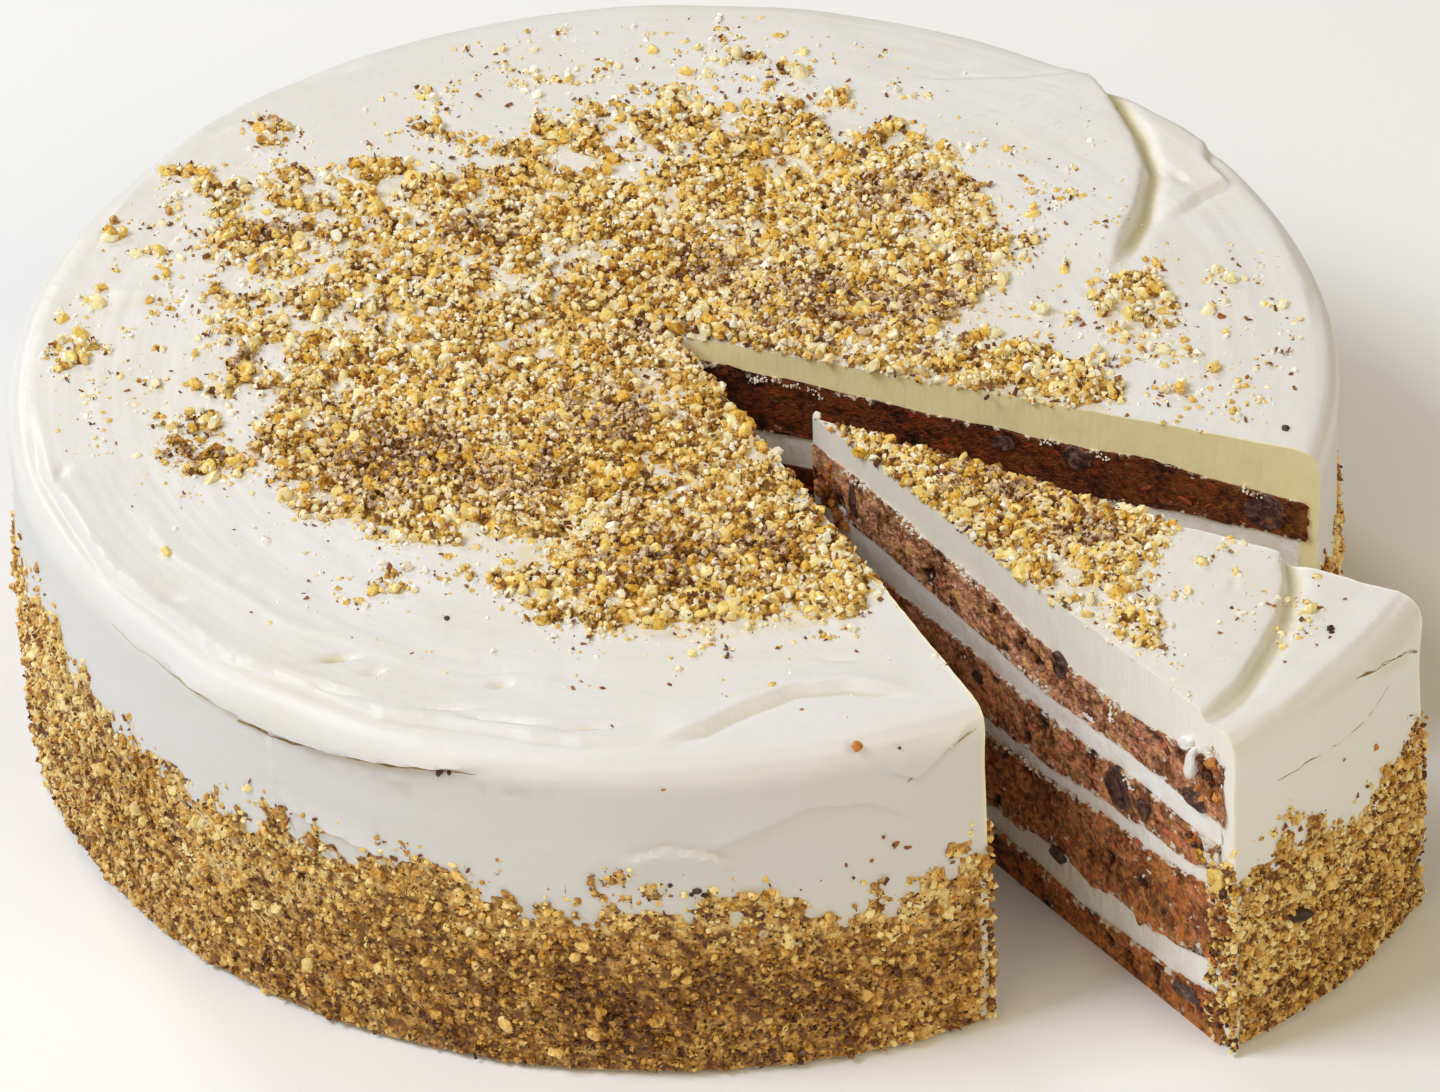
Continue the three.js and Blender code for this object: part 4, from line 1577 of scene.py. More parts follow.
    def build_band(self) -> None:
        """Makes the band pressed into the side."""
        wedge = self.coat.wedge
        fine = 0.75 if wedge.own_arc else 0.88
        heights = spaced((COAT_FOOT + 0.3, 46, fine), (46, 60, 1.5))
        angles = wedge.even(fine, 128)
        piece = grid_block(f"{self.name}_band", (1, len(angles) - 1, len(heights) - 1),
                           hidden=((0, 0),), keep_every=(1, 6, 8))
        share, angle, height = grid_places(piece, np.array([0.0, 1.0]), angles, heights)
        radius = np.where(share > 0.5, self.band_bed_radius(angle, height), SPONGE_RADIUS + 1.2)
        x, y = wedge.plan(radius, angle)
        points = np.stack([x, y, height], axis=-1)
        write_points(piece, wedge.push_faces(points, np.full_like(x, -1.4), 1.6))
        gap, own = grains(self.unrolled(angle, height), 2.2, 89)
        # Part of this tone is painted shade, low down and at the front.
        write_attribute(piece, "tone", 0.45 * own + self.band_browning_and_shade(angle, height))
        # Painted shade in the gaps between grains.
        write_attribute(piece, "gap", smooth(gap, 0.42, 0.85))
        weld(piece)
        dress(piece, 60, NUT_PRESSED_BED, "chopped_nuts")

    def strew_top(self, rng: np.random.Generator, kind: Strewn, sizes: Array) -> tuple[Array, Array, Array]:
        """Strews chips on the plateau, more of them where nuts lie thick.

        Args:
            rng: Gives the random numbers.
            kind: The kind of chip.
            sizes: The chips' sizes.

        Returns:
            Their places, their sizes, smaller where they lie thin, and their tones.
        """
        wedge = self.coat.wedge
        height, tone = rng.random(len(sizes)), rng.random(len(sizes))

        def attempt() -> Array:
            """Tries places all over the plateau."""
            radius = NUT_REACH * np.sqrt(rng.random(BATCH))
            x, y = wedge.plan(radius, np.radians(rng.uniform(wedge.start, wedge.end, BATCH)))
            chance = self.cover(x, y) ** kind.gather
            if kind.powdery:
                chance = chance * np.max([patch.cover(x, y) for patch in FLOURY], axis=0)
            kept = rng.random(BATCH) < chance
            return at_level(x[kept], y[kept])

        places = gather(attempt, len(sizes))
        x, y = places[:, 0].copy(), places[:, 1].copy()
        cover = self.cover(x, y)
        places[:, 2] = self.coat.top(x, y) + np.maximum(self.bed_height(x, y), 0)
        over = rng.random(len(sizes)) * 0.9 - 0.6
        for side in Side:
            near = wedge.depth(places * (1, 1, 0), side) < 0.9
            places[near] += (over[near, None] * cover[near, None]) * wedge.face(side)[1]
        sizes = sizes * (0.7 + 0.3 * cover)
        lift = (height * (0.35 + 0.4 * cover) - kind.sink) * sizes
        tone = 0.75 * tone + 0.35 * self.richness(places[:, 0], places[:, 1]) - 0.25 * (1 - cover)
        places[:, 2] = np.minimum(places[:, 2] + lift, CEILING - 0.7 * sizes)
        return places, sizes, tone

    def strew_side(self, rng: np.random.Generator, kind: Strewn, sizes: Array) -> tuple[Array, Array, Array]:
        """Presses chips into the band, with a few strays above it.

        Args:
            rng: Gives the random numbers.
            kind: The kind of chip.
            sizes: The chips' sizes on the top; they are smaller here.

        Returns:
            Their places, sizes and tones.
        """
        coat, wedge = self.coat, self.coat.wedge
        sizes = sizes * 0.85
        lift, tone = rng.random(len(sizes)), rng.random(len(sizes))

        def attempt() -> Array:
            """Tries places all over the band."""
            angle = np.radians(rng.uniform(wedge.start + 0.1, wedge.end - 0.1, BATCH))
            height = rng.uniform(1.2, 66, BATCH)
            chance = self.band_cover(angle, height) + STRAY * bump(height, coat.band_top(angle), 4)
            kept = rng.random(BATCH) < np.clip(chance, 0, 1)
            return np.stack([angle[kept], height[kept]], axis=-1)

        angle, height = gather(attempt, len(sizes)).T
        wall = WALL + coat.wall_relief(angle, height)
        x, y = wedge.plan(np.maximum(self.band_bed_radius(angle, height), wall), angle)
        places = np.stack([x, y, height], axis=-1)
        lift = (lift * (0.1 + 0.25 * self.band_cover(angle, height)) - kind.sink) * sizes
        seen = np.arctan2(places[:, 1] - wedge.apex[1], places[:, 0] - wedge.apex[0])
        seen = np.where(seen < math.radians(wedge.start), seen + 2 * math.pi, seen)
        tone = 0.7 * tone + self.band_browning_and_shade(seen, places[:, 2]) - 0.08
        places += outward(angle) * (lift * 0.8)[:, None]
        places[:, 2] = np.maximum(places[:, 2], 0.5 * sizes)
        return places, sizes, tone

    def build_loose(self, strewn: Sequence[Strewn], share: float) -> None:
        """Strews every kind of chip over top and side.

        Args:
            strewn: The kinds of chip.
            share: How many chips this wedge takes, as a share of the whole cake's.
        """
        rng = np.random.default_rng(self.seed)
        for order, kind in enumerate(strewn):
            shapes = chip_shapes(kind.cut, SHAPES, self.seed + order)
            small, large = kind.sizes
            for where, count, finish, strew in (("top", kind.per_top, kind.finish, self.strew_top),
                                                ("side", kind.per_side, kind.pressed, self.strew_side)):
                sizes = small + (large - small) * rng.random(round(count * share)) ** 2.2
                places, sizes, tones = strew(rng, kind, sizes)
                scatter = Scatter(f"{self.name}_{kind.kind}_{where}", finish, shapes, self.seed + order)
                scatter.build(places, sizes, np.clip(tones, 0, 1))

    def build_edges(self, per_face: int = 420) -> None:
        """Presses crumbs into the cut ends of the coat, beside the band."""
        rng = np.random.default_rng(self.seed + 50)
        wedge = self.coat.wedge
        found = []
        for side in Side:
            run = wedge.reach(np.radians([wedge.start if side is Side.START else wedge.end]))[0]
            reach = run + COAT + 1.4 - 7.7 * rng.random(per_face) ** 1.6
            height = rng.uniform(1, 50, per_face)
            kept = rng.random(per_face) < 1 - smooth(height, 34, 50)
            offset = rng.uniform(-0.35, 0.45, per_face)
            found.append(wedge.on_face(side, reach, height, offset)[kept])
        places = np.concatenate(found)
        sizes = 0.9 + 1.3 * rng.random(len(places)) ** 2
        places[:, 2] = np.maximum(places[:, 2], 0.5 * sizes)
        shapes = chip_shapes(Cut.GRAIN, SHAPES, self.seed + 51)
        scatter = Scatter(f"{self.name}_cut_ends", NUT_PRESSED, shapes, self.seed + 51)
        scatter.build(places, sizes, rng.random(len(places)))


@dataclass
class Specks:
    """Single crumbs and seeds in known places on a coat.

    Attributes:
        top: On the plateau, each as x, y, size and tone, in the coat's own plan.
        wall: On the wall, each as degrees, height, size and tone.
    """

    name: str
    coat: Coat
    finish: Finish
    top: tuple[tuple[float, float, float, float], ...]
    wall: tuple[tuple[float, float, float, float], ...]
    seed: int

    def build(self) -> None:
        """Sets each one half into the frosting."""
        rows = []
        for own_x, own_y, size, tone in self.top:
            x, y = self.coat.from_own(own_x, own_y)
            height = self.coat.top(np.array([x]), np.array([y]))[0]
            rows.append((x, y, height + 0.1 * size, size, tone))
        for degrees, height, size, tone in self.wall:
            angle = np.radians(np.array([degrees]))
            radius = WALL + self.coat.wall_relief(angle, np.array([height])) + 0.1 * size
            x, y = self.coat.wedge.plan(radius, angle)
            rows.append((x[0], y[0], height, size, tone))
        table = np.array(rows)
        shapes = chip_shapes(Cut.NUGGET, 8, self.seed)
        Scatter(self.name, self.finish, shapes, self.seed).build(table[:, :3], table[:, 3], table[:, 4])


# --- Pieces that the knife opened ---

@dataclass(frozen=True)
class Morsel:
    """A raisin, nut or smear that shows in a cut face: its middle and size along and up the face."""

    along: float
    up: float
    length: float
    height: float
    turn: float


def strewn_morsels(
    wedge: Wedge, seed: int, count: int, sizes: tuple[float, float], aspect: float
) -> tuple[Morsel, ...]:
    """Spreads morsels over the sponge in a cut face.

    Args:
        wedge: The wedge whose face it is.
        seed: Picks the places.
        count: How many there are.
        sizes: Their shortest and longest length in millimetres.
        aspect: Their height as a share of their length.

    Returns:
        The morsels.
    """
    rng = np.random.default_rng(seed)
    morsels = []
    for _ in range(count):
        along = 124 * math.sqrt(rng.uniform(0.01, 0.97))
        layer = 2 * rng.integers(4)
        low, high = (np.interp(along, STATIONS, wedge.surfaces[layer + step]) for step in (0, 1))
        up = low + (high - low) * rng.uniform(0.22, 0.8)
        length = rng.uniform(*sizes)
        height = length * aspect * rng.uniform(0.8, 1.3)
        morsels.append(Morsel(along, up, length, height, rng.uniform(-60, 60)))
    return tuple(morsels)


@dataclass
class Inclusions:
    """Morsels of one kind in one cut face.

    Attributes:
        proud: How far they stand out of the face.
        detail: How finely each is modelled.
        gnarl: How uneven its outline is.
    """

    name: str
    wedge: Wedge
    side: Side
    morsels: tuple[Morsel, ...]
    finish: Finish
    slot: str
    proud: float
    seed: int
    detail: int = 3
    gnarl: float = 0.2

    def build(self) -> None:
        """Models each morsel as an uneven, wrinkled lump, sliced off just outside the face."""
        rng = np.random.default_rng(self.seed)
        parts = []
        for morsel in self.morsels:
            select_nothing()
            bpy.ops.mesh.primitive_ico_sphere_add(subdivisions=self.detail, radius=0.5)
            lump = bpy.context.object
            points = read_points(lump)
            round_it = np.arctan2(points[:, 2], points[:, 0])
            phases = rng.uniform(0, 2 * math.pi, 3)
            lobes = sum(self.gnarl / order * np.sin(order * round_it + phase)
                        for order, phase in zip((2, 3, 5), phases))
            wrinkle = 0.5 * self.gnarl * lumps(points + rng.uniform(0, 50, 3), 0.24, self.seed)
            points = points * (1 + lobes + wrinkle)[:, None]
            turn = math.radians(morsel.turn)
            own_x = points[:, 0] * morsel.length
            own_z = points[:, 2] * morsel.height
            face_x = own_x * math.cos(turn) - own_z * math.sin(turn) + morsel.along
            face_z = np.maximum(own_x * math.sin(turn) + own_z * math.cos(turn) + morsel.up, 0.3)
            reach = points[:, 1] * 2 * min(morsel.length, morsel.height)
            uneven = self.proud * (1 + 0.5 * lumps(points, 0.3, self.seed + 1))
            sliced = uneven * np.tanh(reach / self.proud * 0.7)
            thick = np.where(reach > 0, sliced, np.maximum(reach, -2)) + 0.1
            write_points(lump, self.wedge.on_face(self.side, face_x, face_z, thick))
            parts.append(lump)
        each = len(parts[0].data.vertices)
        select_only(*parts)
        bpy.ops.object.join()
        piece = bpy.context.object
        bpy.ops.object.transform_apply(location=True, rotation=True, scale=True)
        piece.name = self.name
        write_attribute(piece, "tone", np.repeat(rng.uniform(0, 1, len(parts)), each))
        dress(piece, 60, self.finish, self.slot)


@dataclass
class Crumble:
    """Loose crumbs that cling in clusters to one cut face.

    Attributes:
        sizes: The smallest and the largest crumb, in millimetres.
        packing: How much of a cluster's oval its crumbs take up.
        proud: How high they are heaped.
    """

    name: str
    wedge: Wedge
    side: Side
    clusters: tuple[Morsel, ...]
    finish: Finish
    slot: str
    sizes: tuple[float, float]
    seed: int
    packing: float = 0.9
    proud: float = 1.0

    def build(self) -> None:
        """Heaps crumbs over each cluster's oval, highest in its middle."""
        rng = np.random.default_rng(self.seed)
        rows = []
        for cluster in self.clusters:
            mean = sum(self.sizes) / 2
            count = max(3, round(self.packing * cluster.length * cluster.height / mean ** 2))
            turn = math.radians(cluster.turn)
            reach, way = np.sqrt(rng.random(count)) * 0.5, rng.uniform(0, 2 * math.pi, count)
            across, upward = cluster.length * reach * np.cos(way), cluster.height * reach * np.sin(way)
            face_x = cluster.along + across * math.cos(turn) - upward * math.sin(turn)
            face_z = np.maximum(cluster.up + across * math.sin(turn) + upward * math.cos(turn), 0.8)
            lift = self.proud * (1 - 3 * reach ** 2) * rng.random(count)
            rows.append(self.wedge.on_face(self.side, face_x, face_z, lift))
        places = np.concatenate(rows)
        sizes = self.sizes[0] + (self.sizes[1] - self.sizes[0]) * rng.random(len(places)) ** 1.5
        shapes = chip_shapes(Cut.GRAIN, SHAPES, self.seed)
        scatter = Scatter(self.name, self.finish, shapes, self.seed, self.slot)
        scatter.build(places, sizes, rng.random(len(places)))


# --- Studio ---

@dataclass(frozen=True)
class SoftBox:
    """A square soft light that faces the cake: its direction, and its distance and size in metres."""

    name: str
    azimuth: float
    elevation: float
    distance: float
    size: float
    power: float
    colour: str

    def build(self) -> None:
        """Hangs the light."""
        azimuth, elevation = math.radians(self.azimuth), math.radians(self.elevation)
        across = self.distance * math.cos(elevation)
        place = (across * math.cos(azimuth), across * math.sin(azimuth), self.distance * math.sin(elevation))
        select_nothing()
        bpy.ops.object.light_add(type="AREA", location=place)
        light = bpy.context.object
        light.name = self.name
        light.data.size = self.size
        light.data.energy = self.power
        light.data.color = linear(self.colour)[:3]
        back = np.array(place) / np.linalg.norm(place)
        side = np.cross([0, 0, 1.0], back)
        side /= np.linalg.norm(side)
        columns = np.stack([side, np.cross(back, side), back, np.array(place)], axis=1)
        light.matrix_world = Matrix([*columns.tolist(), [0, 0, 0, 1]])


@dataclass
class Studio:
    """The camera, a pale floor, and soft light from a window at the far left and from the room.

    Attributes:
        camera_place: In millimetres.
        yaw: In radians, as pitch and roll are.
        focal_pixels: The lens's focal length in pixels of the frame.
        frame_width: The frame's width in pixels.
    """

    camera_place: tuple[float, float, float] = (32.77, -1269.49, 959.46)
    yaw: float = -0.0195
    pitch: float = 0.6336
    roll: float = -0.0359
    focal_pixels: float = 8075.5
    frame_width: float = 1440
    sensor_width: float = 36.0
    lights: tuple[SoftBox, ...] = (
        SoftBox("left_window", 197, 52, 2.0, 0.8, 26, "E8F0FF"),
        SoftBox("back_window", 120, 34, 2.0, 0.4, 10, "FFFDF8"),
        SoftBox("right_wall", -40, 35, 2.2, 1.2, 13.5, "FFEDC8"),
        SoftBox("near_wall", -118, 46, 2.0, 0.9, 4.6, "FFECCA"),
    )

    def add_camera(self) -> None:
        """Stands the camera where it sees the cake as the frame does."""
        select_nothing()
        bpy.ops.object.camera_add()
        camera = bpy.context.object
        forward = np.array([
            math.sin(self.yaw) * math.cos(self.pitch),
            math.cos(self.yaw) * math.cos(self.pitch),
            -math.sin(self.pitch),
        ])
        right = np.array([math.cos(self.yaw), -math.sin(self.yaw), 0])
        up = np.cross(right, forward)
        leaned_right = math.cos(self.roll) * right + math.sin(self.roll) * up
        leaned_up = -math.sin(self.roll) * right + math.cos(self.roll) * up
        place = np.array(self.camera_place) * METRES
        columns = np.stack([leaned_right, leaned_up, -forward, place], axis=1)
        camera.matrix_world = Matrix([*columns.tolist(), [0, 0, 0, 1]])
        camera.data.sensor_width = self.sensor_width
        camera.data.lens = self.focal_pixels / self.frame_width * self.sensor_width
        camera.data.clip_end = 20
        bpy.context.scene.camera = camera

    def add_floor(self) -> None:
        """Lays a plain pale floor that the cake stands on."""
        select_nothing()
        bpy.ops.mesh.primitive_plane_add(size=8)
        floor = bpy.context.object
        floor.name = "floor"
        # Matt white paint: it gives the eye a plain pale ground, with soft shadows and no reflection.
        material = bpy.data.materials.new("matt_white_paint")
        material.use_nodes = True
        shader = material.node_tree.nodes["Principled BSDF"]
        shader.inputs["Base Color"].default_value = linear("F8F8F6")
        shader.inputs["Roughness"].default_value = 0.9
        floor.data.materials.append(material)
        floor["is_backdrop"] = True

    def build(self) -> None:
        """Sets the whole studio up."""
        self.add_camera()
        self.add_floor()
        for light in self.lights:
            light.build()
        scene = bpy.context.scene
        scene.view_settings.view_transform = "Standard"
        world = bpy.data.worlds.new("white_room")
        scene.world = world
        world.use_nodes = True
        background = world.node_tree.nodes["Background"]
        background.inputs["Color"].default_value = linear("FFF9EE")
        background.inputs["Strength"].default_value = 0.21


# --- Assembly ---

def on_wall(*places: tuple[float, float]) -> tuple[tuple[float, float], ...]:
    """Places on an unrolled wall, from their degrees and heights."""
    return tuple((math.radians(degrees) * WALL, height) for degrees, height in places)


CAKE_COAT = Coat(
    CAKE,
    PAINTED_LIGHT_FROSTING,
    top_strokes=(
        Stroke(((84, 22), (87, 34), (91, 46), (93, 58), (91, 70), (88, 80), (84, 92), (76, 102)), 2.4,
               steep=0.7, gentle=24, groove=1.3, valley=2.2),
        Stroke(((95, 40), (103, 50), (109, 54), (105, 62), (106, 72), (96, 82)), 1.0, steep=0.6, gentle=5,
               groove=0.5, valley=1.4),
        Stroke(((123, 0), (122, 20), (117, 42), (106, 64)), 0.6, steep=1.0, gentle=4),
        Stroke(((84, 93), (66, 93.5), (46, 94)), 0.6, steep=0.4, gentle=6, groove=0.2, valley=0.8),
        Stroke(((-4, -121.5), (6, -117), (14, -111), (22, -106.5), (32, -105), (46, -108)), 1.3, steep=0.8,
               gentle=6, groove=0.8, valley=1.5),
        Stroke(((-122, -8), (-118, -34), (-104, -66), (-82, -92), (-52, -111), (-16, -121), (10, -121)), 1.1,
               steep=0.5, gentle=7, groove=0.5, valley=1.2),
        Stroke(((-112, 24), (-104, 23), (-97, 24), (-90, 19)), 1.0, steep=0.5, gentle=3, groove=0.6,
               valley=1.4),
        Stroke(((-60, 104), (-78, 92), (-92, 78)), 0.8, steep=0.6, gentle=5, groove=0.4),
        Stroke(((-74, 102), (-92, 86), (-104, 66), (-114, 44)), 0.6, steep=0.9, gentle=6, groove=0.2),
        Stroke(((-104, -40), (-92, -62), (-70, -84), (-44, -98)), 0.35, steep=0.9, gentle=9),
        Stroke(((-30, -96), (0, -99), (24, -98)), 0.25, steep=0.7, gentle=7),
    ),
    wall_strokes=(
        Stroke(on_wall((223, 70), (227, 67.6), (231, 66.6), (235, 65.4), (239, 65.6), (245, 66.2), (251, 68),
                       (257, 70)), 1.7, steep=0.5, gentle=5.5, groove=0.5, valley=1.4),
        Stroke(on_wall((236, 66), (236.5, 58), (236, 52)), 0.7, steep=0.45, gentle=5),
        Stroke(on_wall((236, 52), (238.5, 48), (243, 46), (248, 43.5)), 1.1, steep=0.5, gentle=2.2),
        Stroke(on_wall((271, 51), (276, 56), (280, 60), (285, 59), (289, 53), (290.5, 50)), 0.8,
               steep=0.45, gentle=4, groove=0.25, valley=0.8),
        Stroke(on_wall((275, 48), (272, 51), (269, 52.5), (265, 50)), 0.9, steep=0.45, gentle=3,
               groove=0.3, valley=0.8),
        Stroke(on_wall((286, 66), (289, 62), (291, 66), (294, 71)), 0.9, steep=0.45, gentle=4,
               groove=0.4, valley=0.8),
    ),
    pits=tuple(Pit(*row) for row in (
        (-61, -94.5, 3.0, 1.1, 8, 1.8), (-115, -35, 2.5, 1.0, 70, 0.9), (-54, -99, 1.8, 0.7, 10, 1.0),
        (-30, -114.3, 5.5, 0.7, -12, 1.6), (-41, -110.3, 5.0, 0.6, -3, 1.1), (-31, -103, 2.0, 0.9, 0, 1.3),
        (-15, -116.7, 5.0, 0.7, 3, 1.3), (-53, -119.5, 3.0, 0.9, -8, 1.0), (-92, -76, 2.4, 1.0, 20, 0.8),
        (-62, -104, 5.0, 0.7, -28, 1.2), (30, -98, 3.5, 0.6, -8, 0.6), (-32, -99.6, 5.0, 0.5, 3, 0.6),
        (-98, 44, 3.0, 0.8, 60, 0.5), (82, 78, 4.0, 0.7, 32, 0.5), (76, 74, 5.0, 0.7, 30, 0.5),
        (80, 70, 3.6, 0.7, 30, 0.45), (73, 83, 4.0, 0.7, 28, 0.4), (100, 56, 2.6, 0.9, 120, 0.6),
        (-22, 112, 4.0, 0.8, 0, 0.4), (-80, -70, 2.0, 0.8, 40, 0.4), (58, 98, 3.0, 1.0, 20, 0.5),
    )),
    seed=3,
    runs=((60, 0.46), (180, 1.3), (225, 0.6), (295, 0.27)),
    patches=CAKE_PATCHES,
    thin=(
        WallSpot(-119, 63, 5, 2.2, 0.5), WallSpot(-113, 61.5, 7, 2.6, 0.6), WallSpot(-104, 65, 7, 2.4, 0.6),
        WallSpot(-99, 67, 5, 2, 0.5),
    ),
    rises=((-132, 6, -1), (-113, 4, 4), (-100, 4, -2), (-95, 2, 3), (-84, 2.5, 4), (-75, 3, -2),
           (-69, 1.6, 4)),
)
SLICE_COAT = Coat(
    SLICE,
    FROSTING,
    top_strokes=(
        Stroke(((34, 84), (24, 94), (15, 102), (5, 108), (-6, 112), (-16, 115), (-34, 116)), 1.7, steep=0.5,
               gentle=30, groove=1.0, valley=2.2),
        Stroke(((34, 118), (12, 123), (-12, 125), (-34, 124)), 0.8, steep=0.8, gentle=4),
    ),
    wall_strokes=(
        Stroke(on_wall((-50, 58.6), (-46, 59), (-42.5, 58.4), (-39, 58.6), (-35, 61)), 0.6, steep=0.5,
               gentle=5, groove=0.2),
        Stroke(on_wall((-40, 69.5), (-36, 68), (-32, 65.5), (-30, 62)), 0.9, steep=0.6, gentle=4,
               groove=0.4),
    ),
    pits=(Pit(-12, 88, 2.0, 0.8, 20, 0.3), Pit(8, 96, 2.4, 0.8, -30, 0.3)),
    seed=4,
    runs=((0, 0.3),),
    patches=SLICE_PATCHES,
    cell=0.66,
    rises=((-48, 2, 3), (-45, 1.5, 2), (-40, 1.8, -4), (-33, 2.5, 2)),
)
CRACKS = (
    Crack("wall_tear_left", CAKE_COAT, ((-142, 67.5), (-139, 66.6), (-136, 67), (-133, 65.4), (-130, 64.6)),
          0.14, 61, 0.1),
    Crack("wall_tear_front", CAKE_COAT, ((-127, 63.8), (-123, 63.6), (-119, 64.4), (-114, 65.2), (-109, 66.6),
                                         (-104, 67.6), (-100, 69)), 0.21, 62, 0.3),
    Crack("wall_tear_right", CAKE_COAT, ((-72, 61), (-69.5, 65), (-67.5, 67.5), (-66, 69)), 0.25, 63, 0.2),
    Crack("slice_wall_tear_low", SLICE_COAT, ((-49.5, 58.3), (-46.5, 58.9), (-44.6, 58.5)), 0.3, 64, 0.3),
    Crack("slice_wall_tear_middle", SLICE_COAT, ((-43.4, 58.8), (-42.4, 57.7), (-40.5, 58.3), (-37.5, 58.4),
                                                 (-35, 60.8)), 0.3, 66, 0.25),
    Crack("slice_wall_tear_high", SLICE_COAT, ((-40, 69.4), (-37.5, 68.4), (-35.6, 67.8)), 0.5, 67, 0.4),
    Crack("slice_wall_tear_open", SLICE_COAT, ((-36.6, 68), (-34.5, 66.8), (-32.4, 65.2), (-30, 61.8)),
          1.5, 65, 0.8),
)
SPECKS = (
    Specks("wall_crust_crumbs", CAKE_COAT, BROKEN_CRUST,
           top=((24, -113, 1.0, 0.2), (-12, -105, 1.2, 0.5),
                (0, -104.5, 1.2, 0.6), (-77, -80, 1.0, 0.5), (118, -12, 1.4, 0.5), (106, 8, 1.8, 0.4)),
           wall=((-94, 65, 1.0, 0.4), (-91, 67, 1.3, 0.3), (-76, 72, 2.2, 0.1), (-73, 48, 1.6, 0.4),
                 (-72, 46.5, 1.3, 0.5), (-74, 50, 1.0, 0.6), (-75, 45.5, 1.1, 0.4), (-147, 47.5, 1.4, 0.5),
                 (-101, 66.5, 0.7, 0.9), (-72.5, 69.5, 0.7, 0.9), (-108.6, 66.5, 1.6, 1.0),
                 (-107.8, 66.6, 1.1, 1.0)),
           seed=71),
    Specks("wall_seeds", CAKE_COAT, SEED,
           top=((116, -30, 2.0, 0.4), (60, -17, 1.3, 0.5), (-41, -83, 1.5, 0.2)),
           wall=((-88.8, 43.4, 1.6, 0.3), (-88.2, 42.5, 1.3, 0.6), (-89.2, 42.7, 1.0, 0.4),
                 (-90.8, 44.8, 1.1, 0.4), (-83.5, 40, 1.2, 0.5)),
           seed=72),
    Specks("slice_crust_crumbs", SLICE_COAT, BROKEN_CRUST,
           top=((7, 106, 1.2, 0.3), (4, 118.5, 1.0, 0.4)),
           wall=((-37, 49.8, 1.5, 0.2), (-41.5, 53, 0.7, 0.2)),
           seed=73),
    Specks("slice_seeds", SLICE_COAT, SEED,
           top=((9.5, 117.5, 1.8, 0.2), (8.9, 118.5, 1.3, 0.2)),
           wall=((-47.6, 25, 4.4, 0.4),),
           seed=74),
)

SLICE_RAISINS = tuple(Morsel(*row) for row in (
    (94.5, 42, 7.5, 8.5, 20), (77, 59.5, 4.8, 5, 0), (117, 53, 6.4, 4.4, -10), (115, 6.5, 9, 3.0, 5),
    (102, 41.5, 4, 3.4, 0), (13, 60.5, 2.0, 8, 5), (52, 42, 4, 2.8, -20), (76, 14.5, 5, 3, -10),
))
CAKE_RAISINS = tuple(Morsel(*row) for row in (
    (118.5, 57.5, 7.5, 8.5, 30), (81, 61.5, 6.5, 5, 10), (66, 61.8, 4.4, 3.6, -10),
))
SLICE_CREAM_BITS = tuple(Morsel(*row) for row in (
    (116, 60.6, 3.0, 7.5, -14), (114.5, 64.6, 4.6, 2.4, 24),
))
# Crumbs that cling to the cut faces: broken crust, crumbs of frosting, and nut.
SLICE_BROKEN = tuple(Morsel(*row) for row in (
    (4.5, 60, 8, 8, 30), (6.5, 56, 6, 5, -20), (3, 52, 3, 2.4, 0), (8, 52.2, 5, 3, 10),
    (121, 62.4, 6.4, 5.4, 20), (121, 57, 6.4, 6.4, 0), (117, 43, 5, 5, 0), (127, 29, 3.2, 9.0, 5),
    (127, 20, 2.6, 6.0, -5), (126, 6.5, 3.6, 7.0, 5),
))
SLICE_WIPED = tuple(Morsel(*row) for row in (
    (93, 58.6, 2.4, 5.6, -8), (31, 64.4, 9, 1.6, -8), (48, 63.4, 9, 1.4, -8), (70, 51.8, 12, 1.6, -2),
    (97, 45.2, 6, 1.8, -16), (14, 65.6, 8, 1.6, 0), (103, 27, 3.4, 1.2, 40), (66, 30.5, 14, 1.2, 2),
    (122, 67, 4, 2, 0),
))
CAKE_WIPED = tuple(Morsel(*row) for row in (
    (17, 65.8, 6, 1.6, 12), (23, 66, 6, 1.4, -6), (28, 65, 4, 1.4, -30), (86, 63, 3, 1.2, 0),
    (75, 64, 4, 1.2, 20), (115.5, 61.4, 5, 1.4, -20),
))
SLICE_NUTS = (Morsel(123.5, 38.3, 5.4, 4.6, 0), Morsel(119, 41, 3.4, 3, 10))
# How far the knife dragged each sponge layer of the slice out over the coat, from the bottom.
SLICE_DRAG = (2.2, 3.0, 0.8, 1.8)


def build_wedge(coat: Coat, share: float, seed: int) -> None:
    """Builds all the pieces of one wedge but the specks and what shows in its cut faces.

    Args:
        coat: Its coat, which names the wedge.
        share: How many nuts it takes, as a share of the whole cake's.
        seed: Picks its noise and its random places.
    """
    coat.build()
    for index in range(len(SURFACES) - 1):
        if coat.wedge.own_arc:
            looks = dict(cell=0.44, moist=1.0 - index / 6, reach=SLICE_DRAG[index // 2], torn=1.0,
                         finish=SPONGE)
        else:
            looks = dict(cell=0.52, moist=1.0, reach=2.4, torn=0.45, finish=MOIST_SPONGE_PAINTED_SHADE)
        smeared_from = 117.0 if coat.wedge.own_arc and index == 4 else 2 * SPONGE_RADIUS
        Layer(coat.wedge, index, seed + index, smeared_from=smeared_from, **looks).build()
    nuts = Nuts(coat, seed)
    nuts.build_bed()
    nuts.build_band()
    nuts.build_loose(STREWN, share)
    nuts.build_edges()


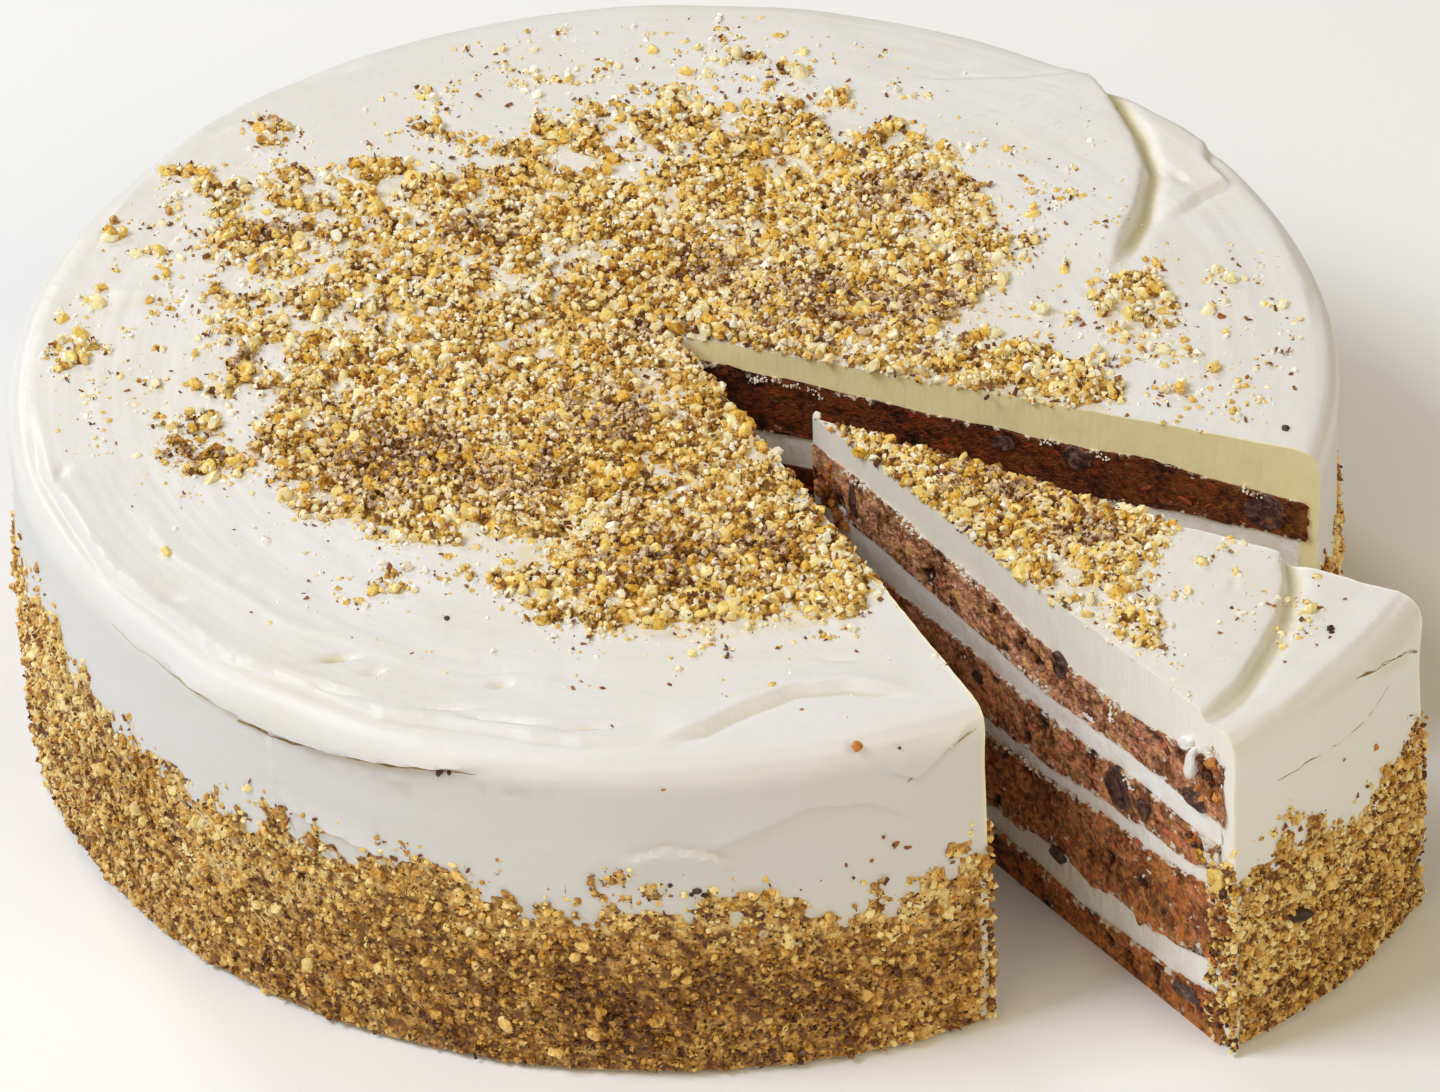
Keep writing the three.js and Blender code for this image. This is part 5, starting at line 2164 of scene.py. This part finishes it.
def main() -> None:
    """Builds the studio and the cake, and gathers the sizes of both models."""
    logging.basicConfig(level=logging.INFO, format="%(message)s")
    Studio().build()
    build_wedge(CAKE_COAT, 1.0, 100)
    build_wedge(SLICE_COAT, 0.12, 200)
    for part in (*CRACKS, *SPECKS):
        part.build()
    slice_hidden, cake_hidden = (
        strewn_morsels(wedge, seed, 7, (3.5, 7.0), 0.8) for wedge, seed in ((SLICE, 8), (CAKE, 9)))
    for name, wedge, side, morsels, finish, slot, proud in (
        ("slice_end_raisins", SLICE, Side.END, slice_hidden, RAISIN, "raisins", 0.4),
        ("cake_end_raisins", CAKE, Side.END, cake_hidden, RAISIN, "raisins", 0.4),
        ("slice_raisins", SLICE, Side.START, SLICE_RAISINS, RAISIN, "raisins", 0.45),
        ("cake_raisins", CAKE, Side.START, CAKE_RAISINS, RAISIN, "raisins", 0.35),
        ("slice_cream_bits", SLICE, Side.START, SLICE_CREAM_BITS, CUT_FROSTING, "filling", 0.9),
        ("slice_face_nuts", SLICE, Side.START, SLICE_NUTS, NUT_CHIP, "chopped_nuts", 0.6),
    ):
        Inclusions(name, wedge, side, morsels, finish, slot, proud, len(name)).build()
    for name, wedge, side, clusters, finish, slot, sizes in (
        ("slice_broken_crust", SLICE, Side.START, SLICE_BROKEN, BROKEN_CRUST, "sponge", (1.0, 2.8)),
        ("slice_wiped_crumbs", SLICE, Side.START, SLICE_WIPED, WIPED_CRUMBS, "filling", (0.4, 1.0)),
        ("cake_wiped_crumbs", CAKE, Side.START, CAKE_WIPED, WIPED_CRUMBS, "filling", (0.35, 0.85)),
    ):
        Crumble(name, wedge, side, clusters, finish, slot, sizes, len(name)).build()
    for wedge in (CAKE, SLICE):
        for side in Side:
            name = f"{wedge.prefix or 'cake_'}{side.name.lower()}"
            seed = 40 + 10 * side.value + len(wedge.prefix)
            shreds = strewn_morsels(wedge, seed, 26, (1.2, 4.0), 0.26)
            crumbs = strewn_morsels(wedge, seed + 1, 16, (0.8, 2.2), 0.8)
            Inclusions(f"{name}_carrot", wedge, side, shreds, CARROT, "grated_carrot", 0.1, seed, 2,
                       0.3).build()
            Inclusions(f"{name}_crumbs", wedge, side, crumbs, NUT_SKIN, "chopped_nuts", 0.3, seed + 1,
                       2).build()
    sizes = {
        "cad": [list(corner) for corner in CAD_BOX],
        "visual": [list(corner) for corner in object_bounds()],
    }


if __name__ == "__main__":
    main()
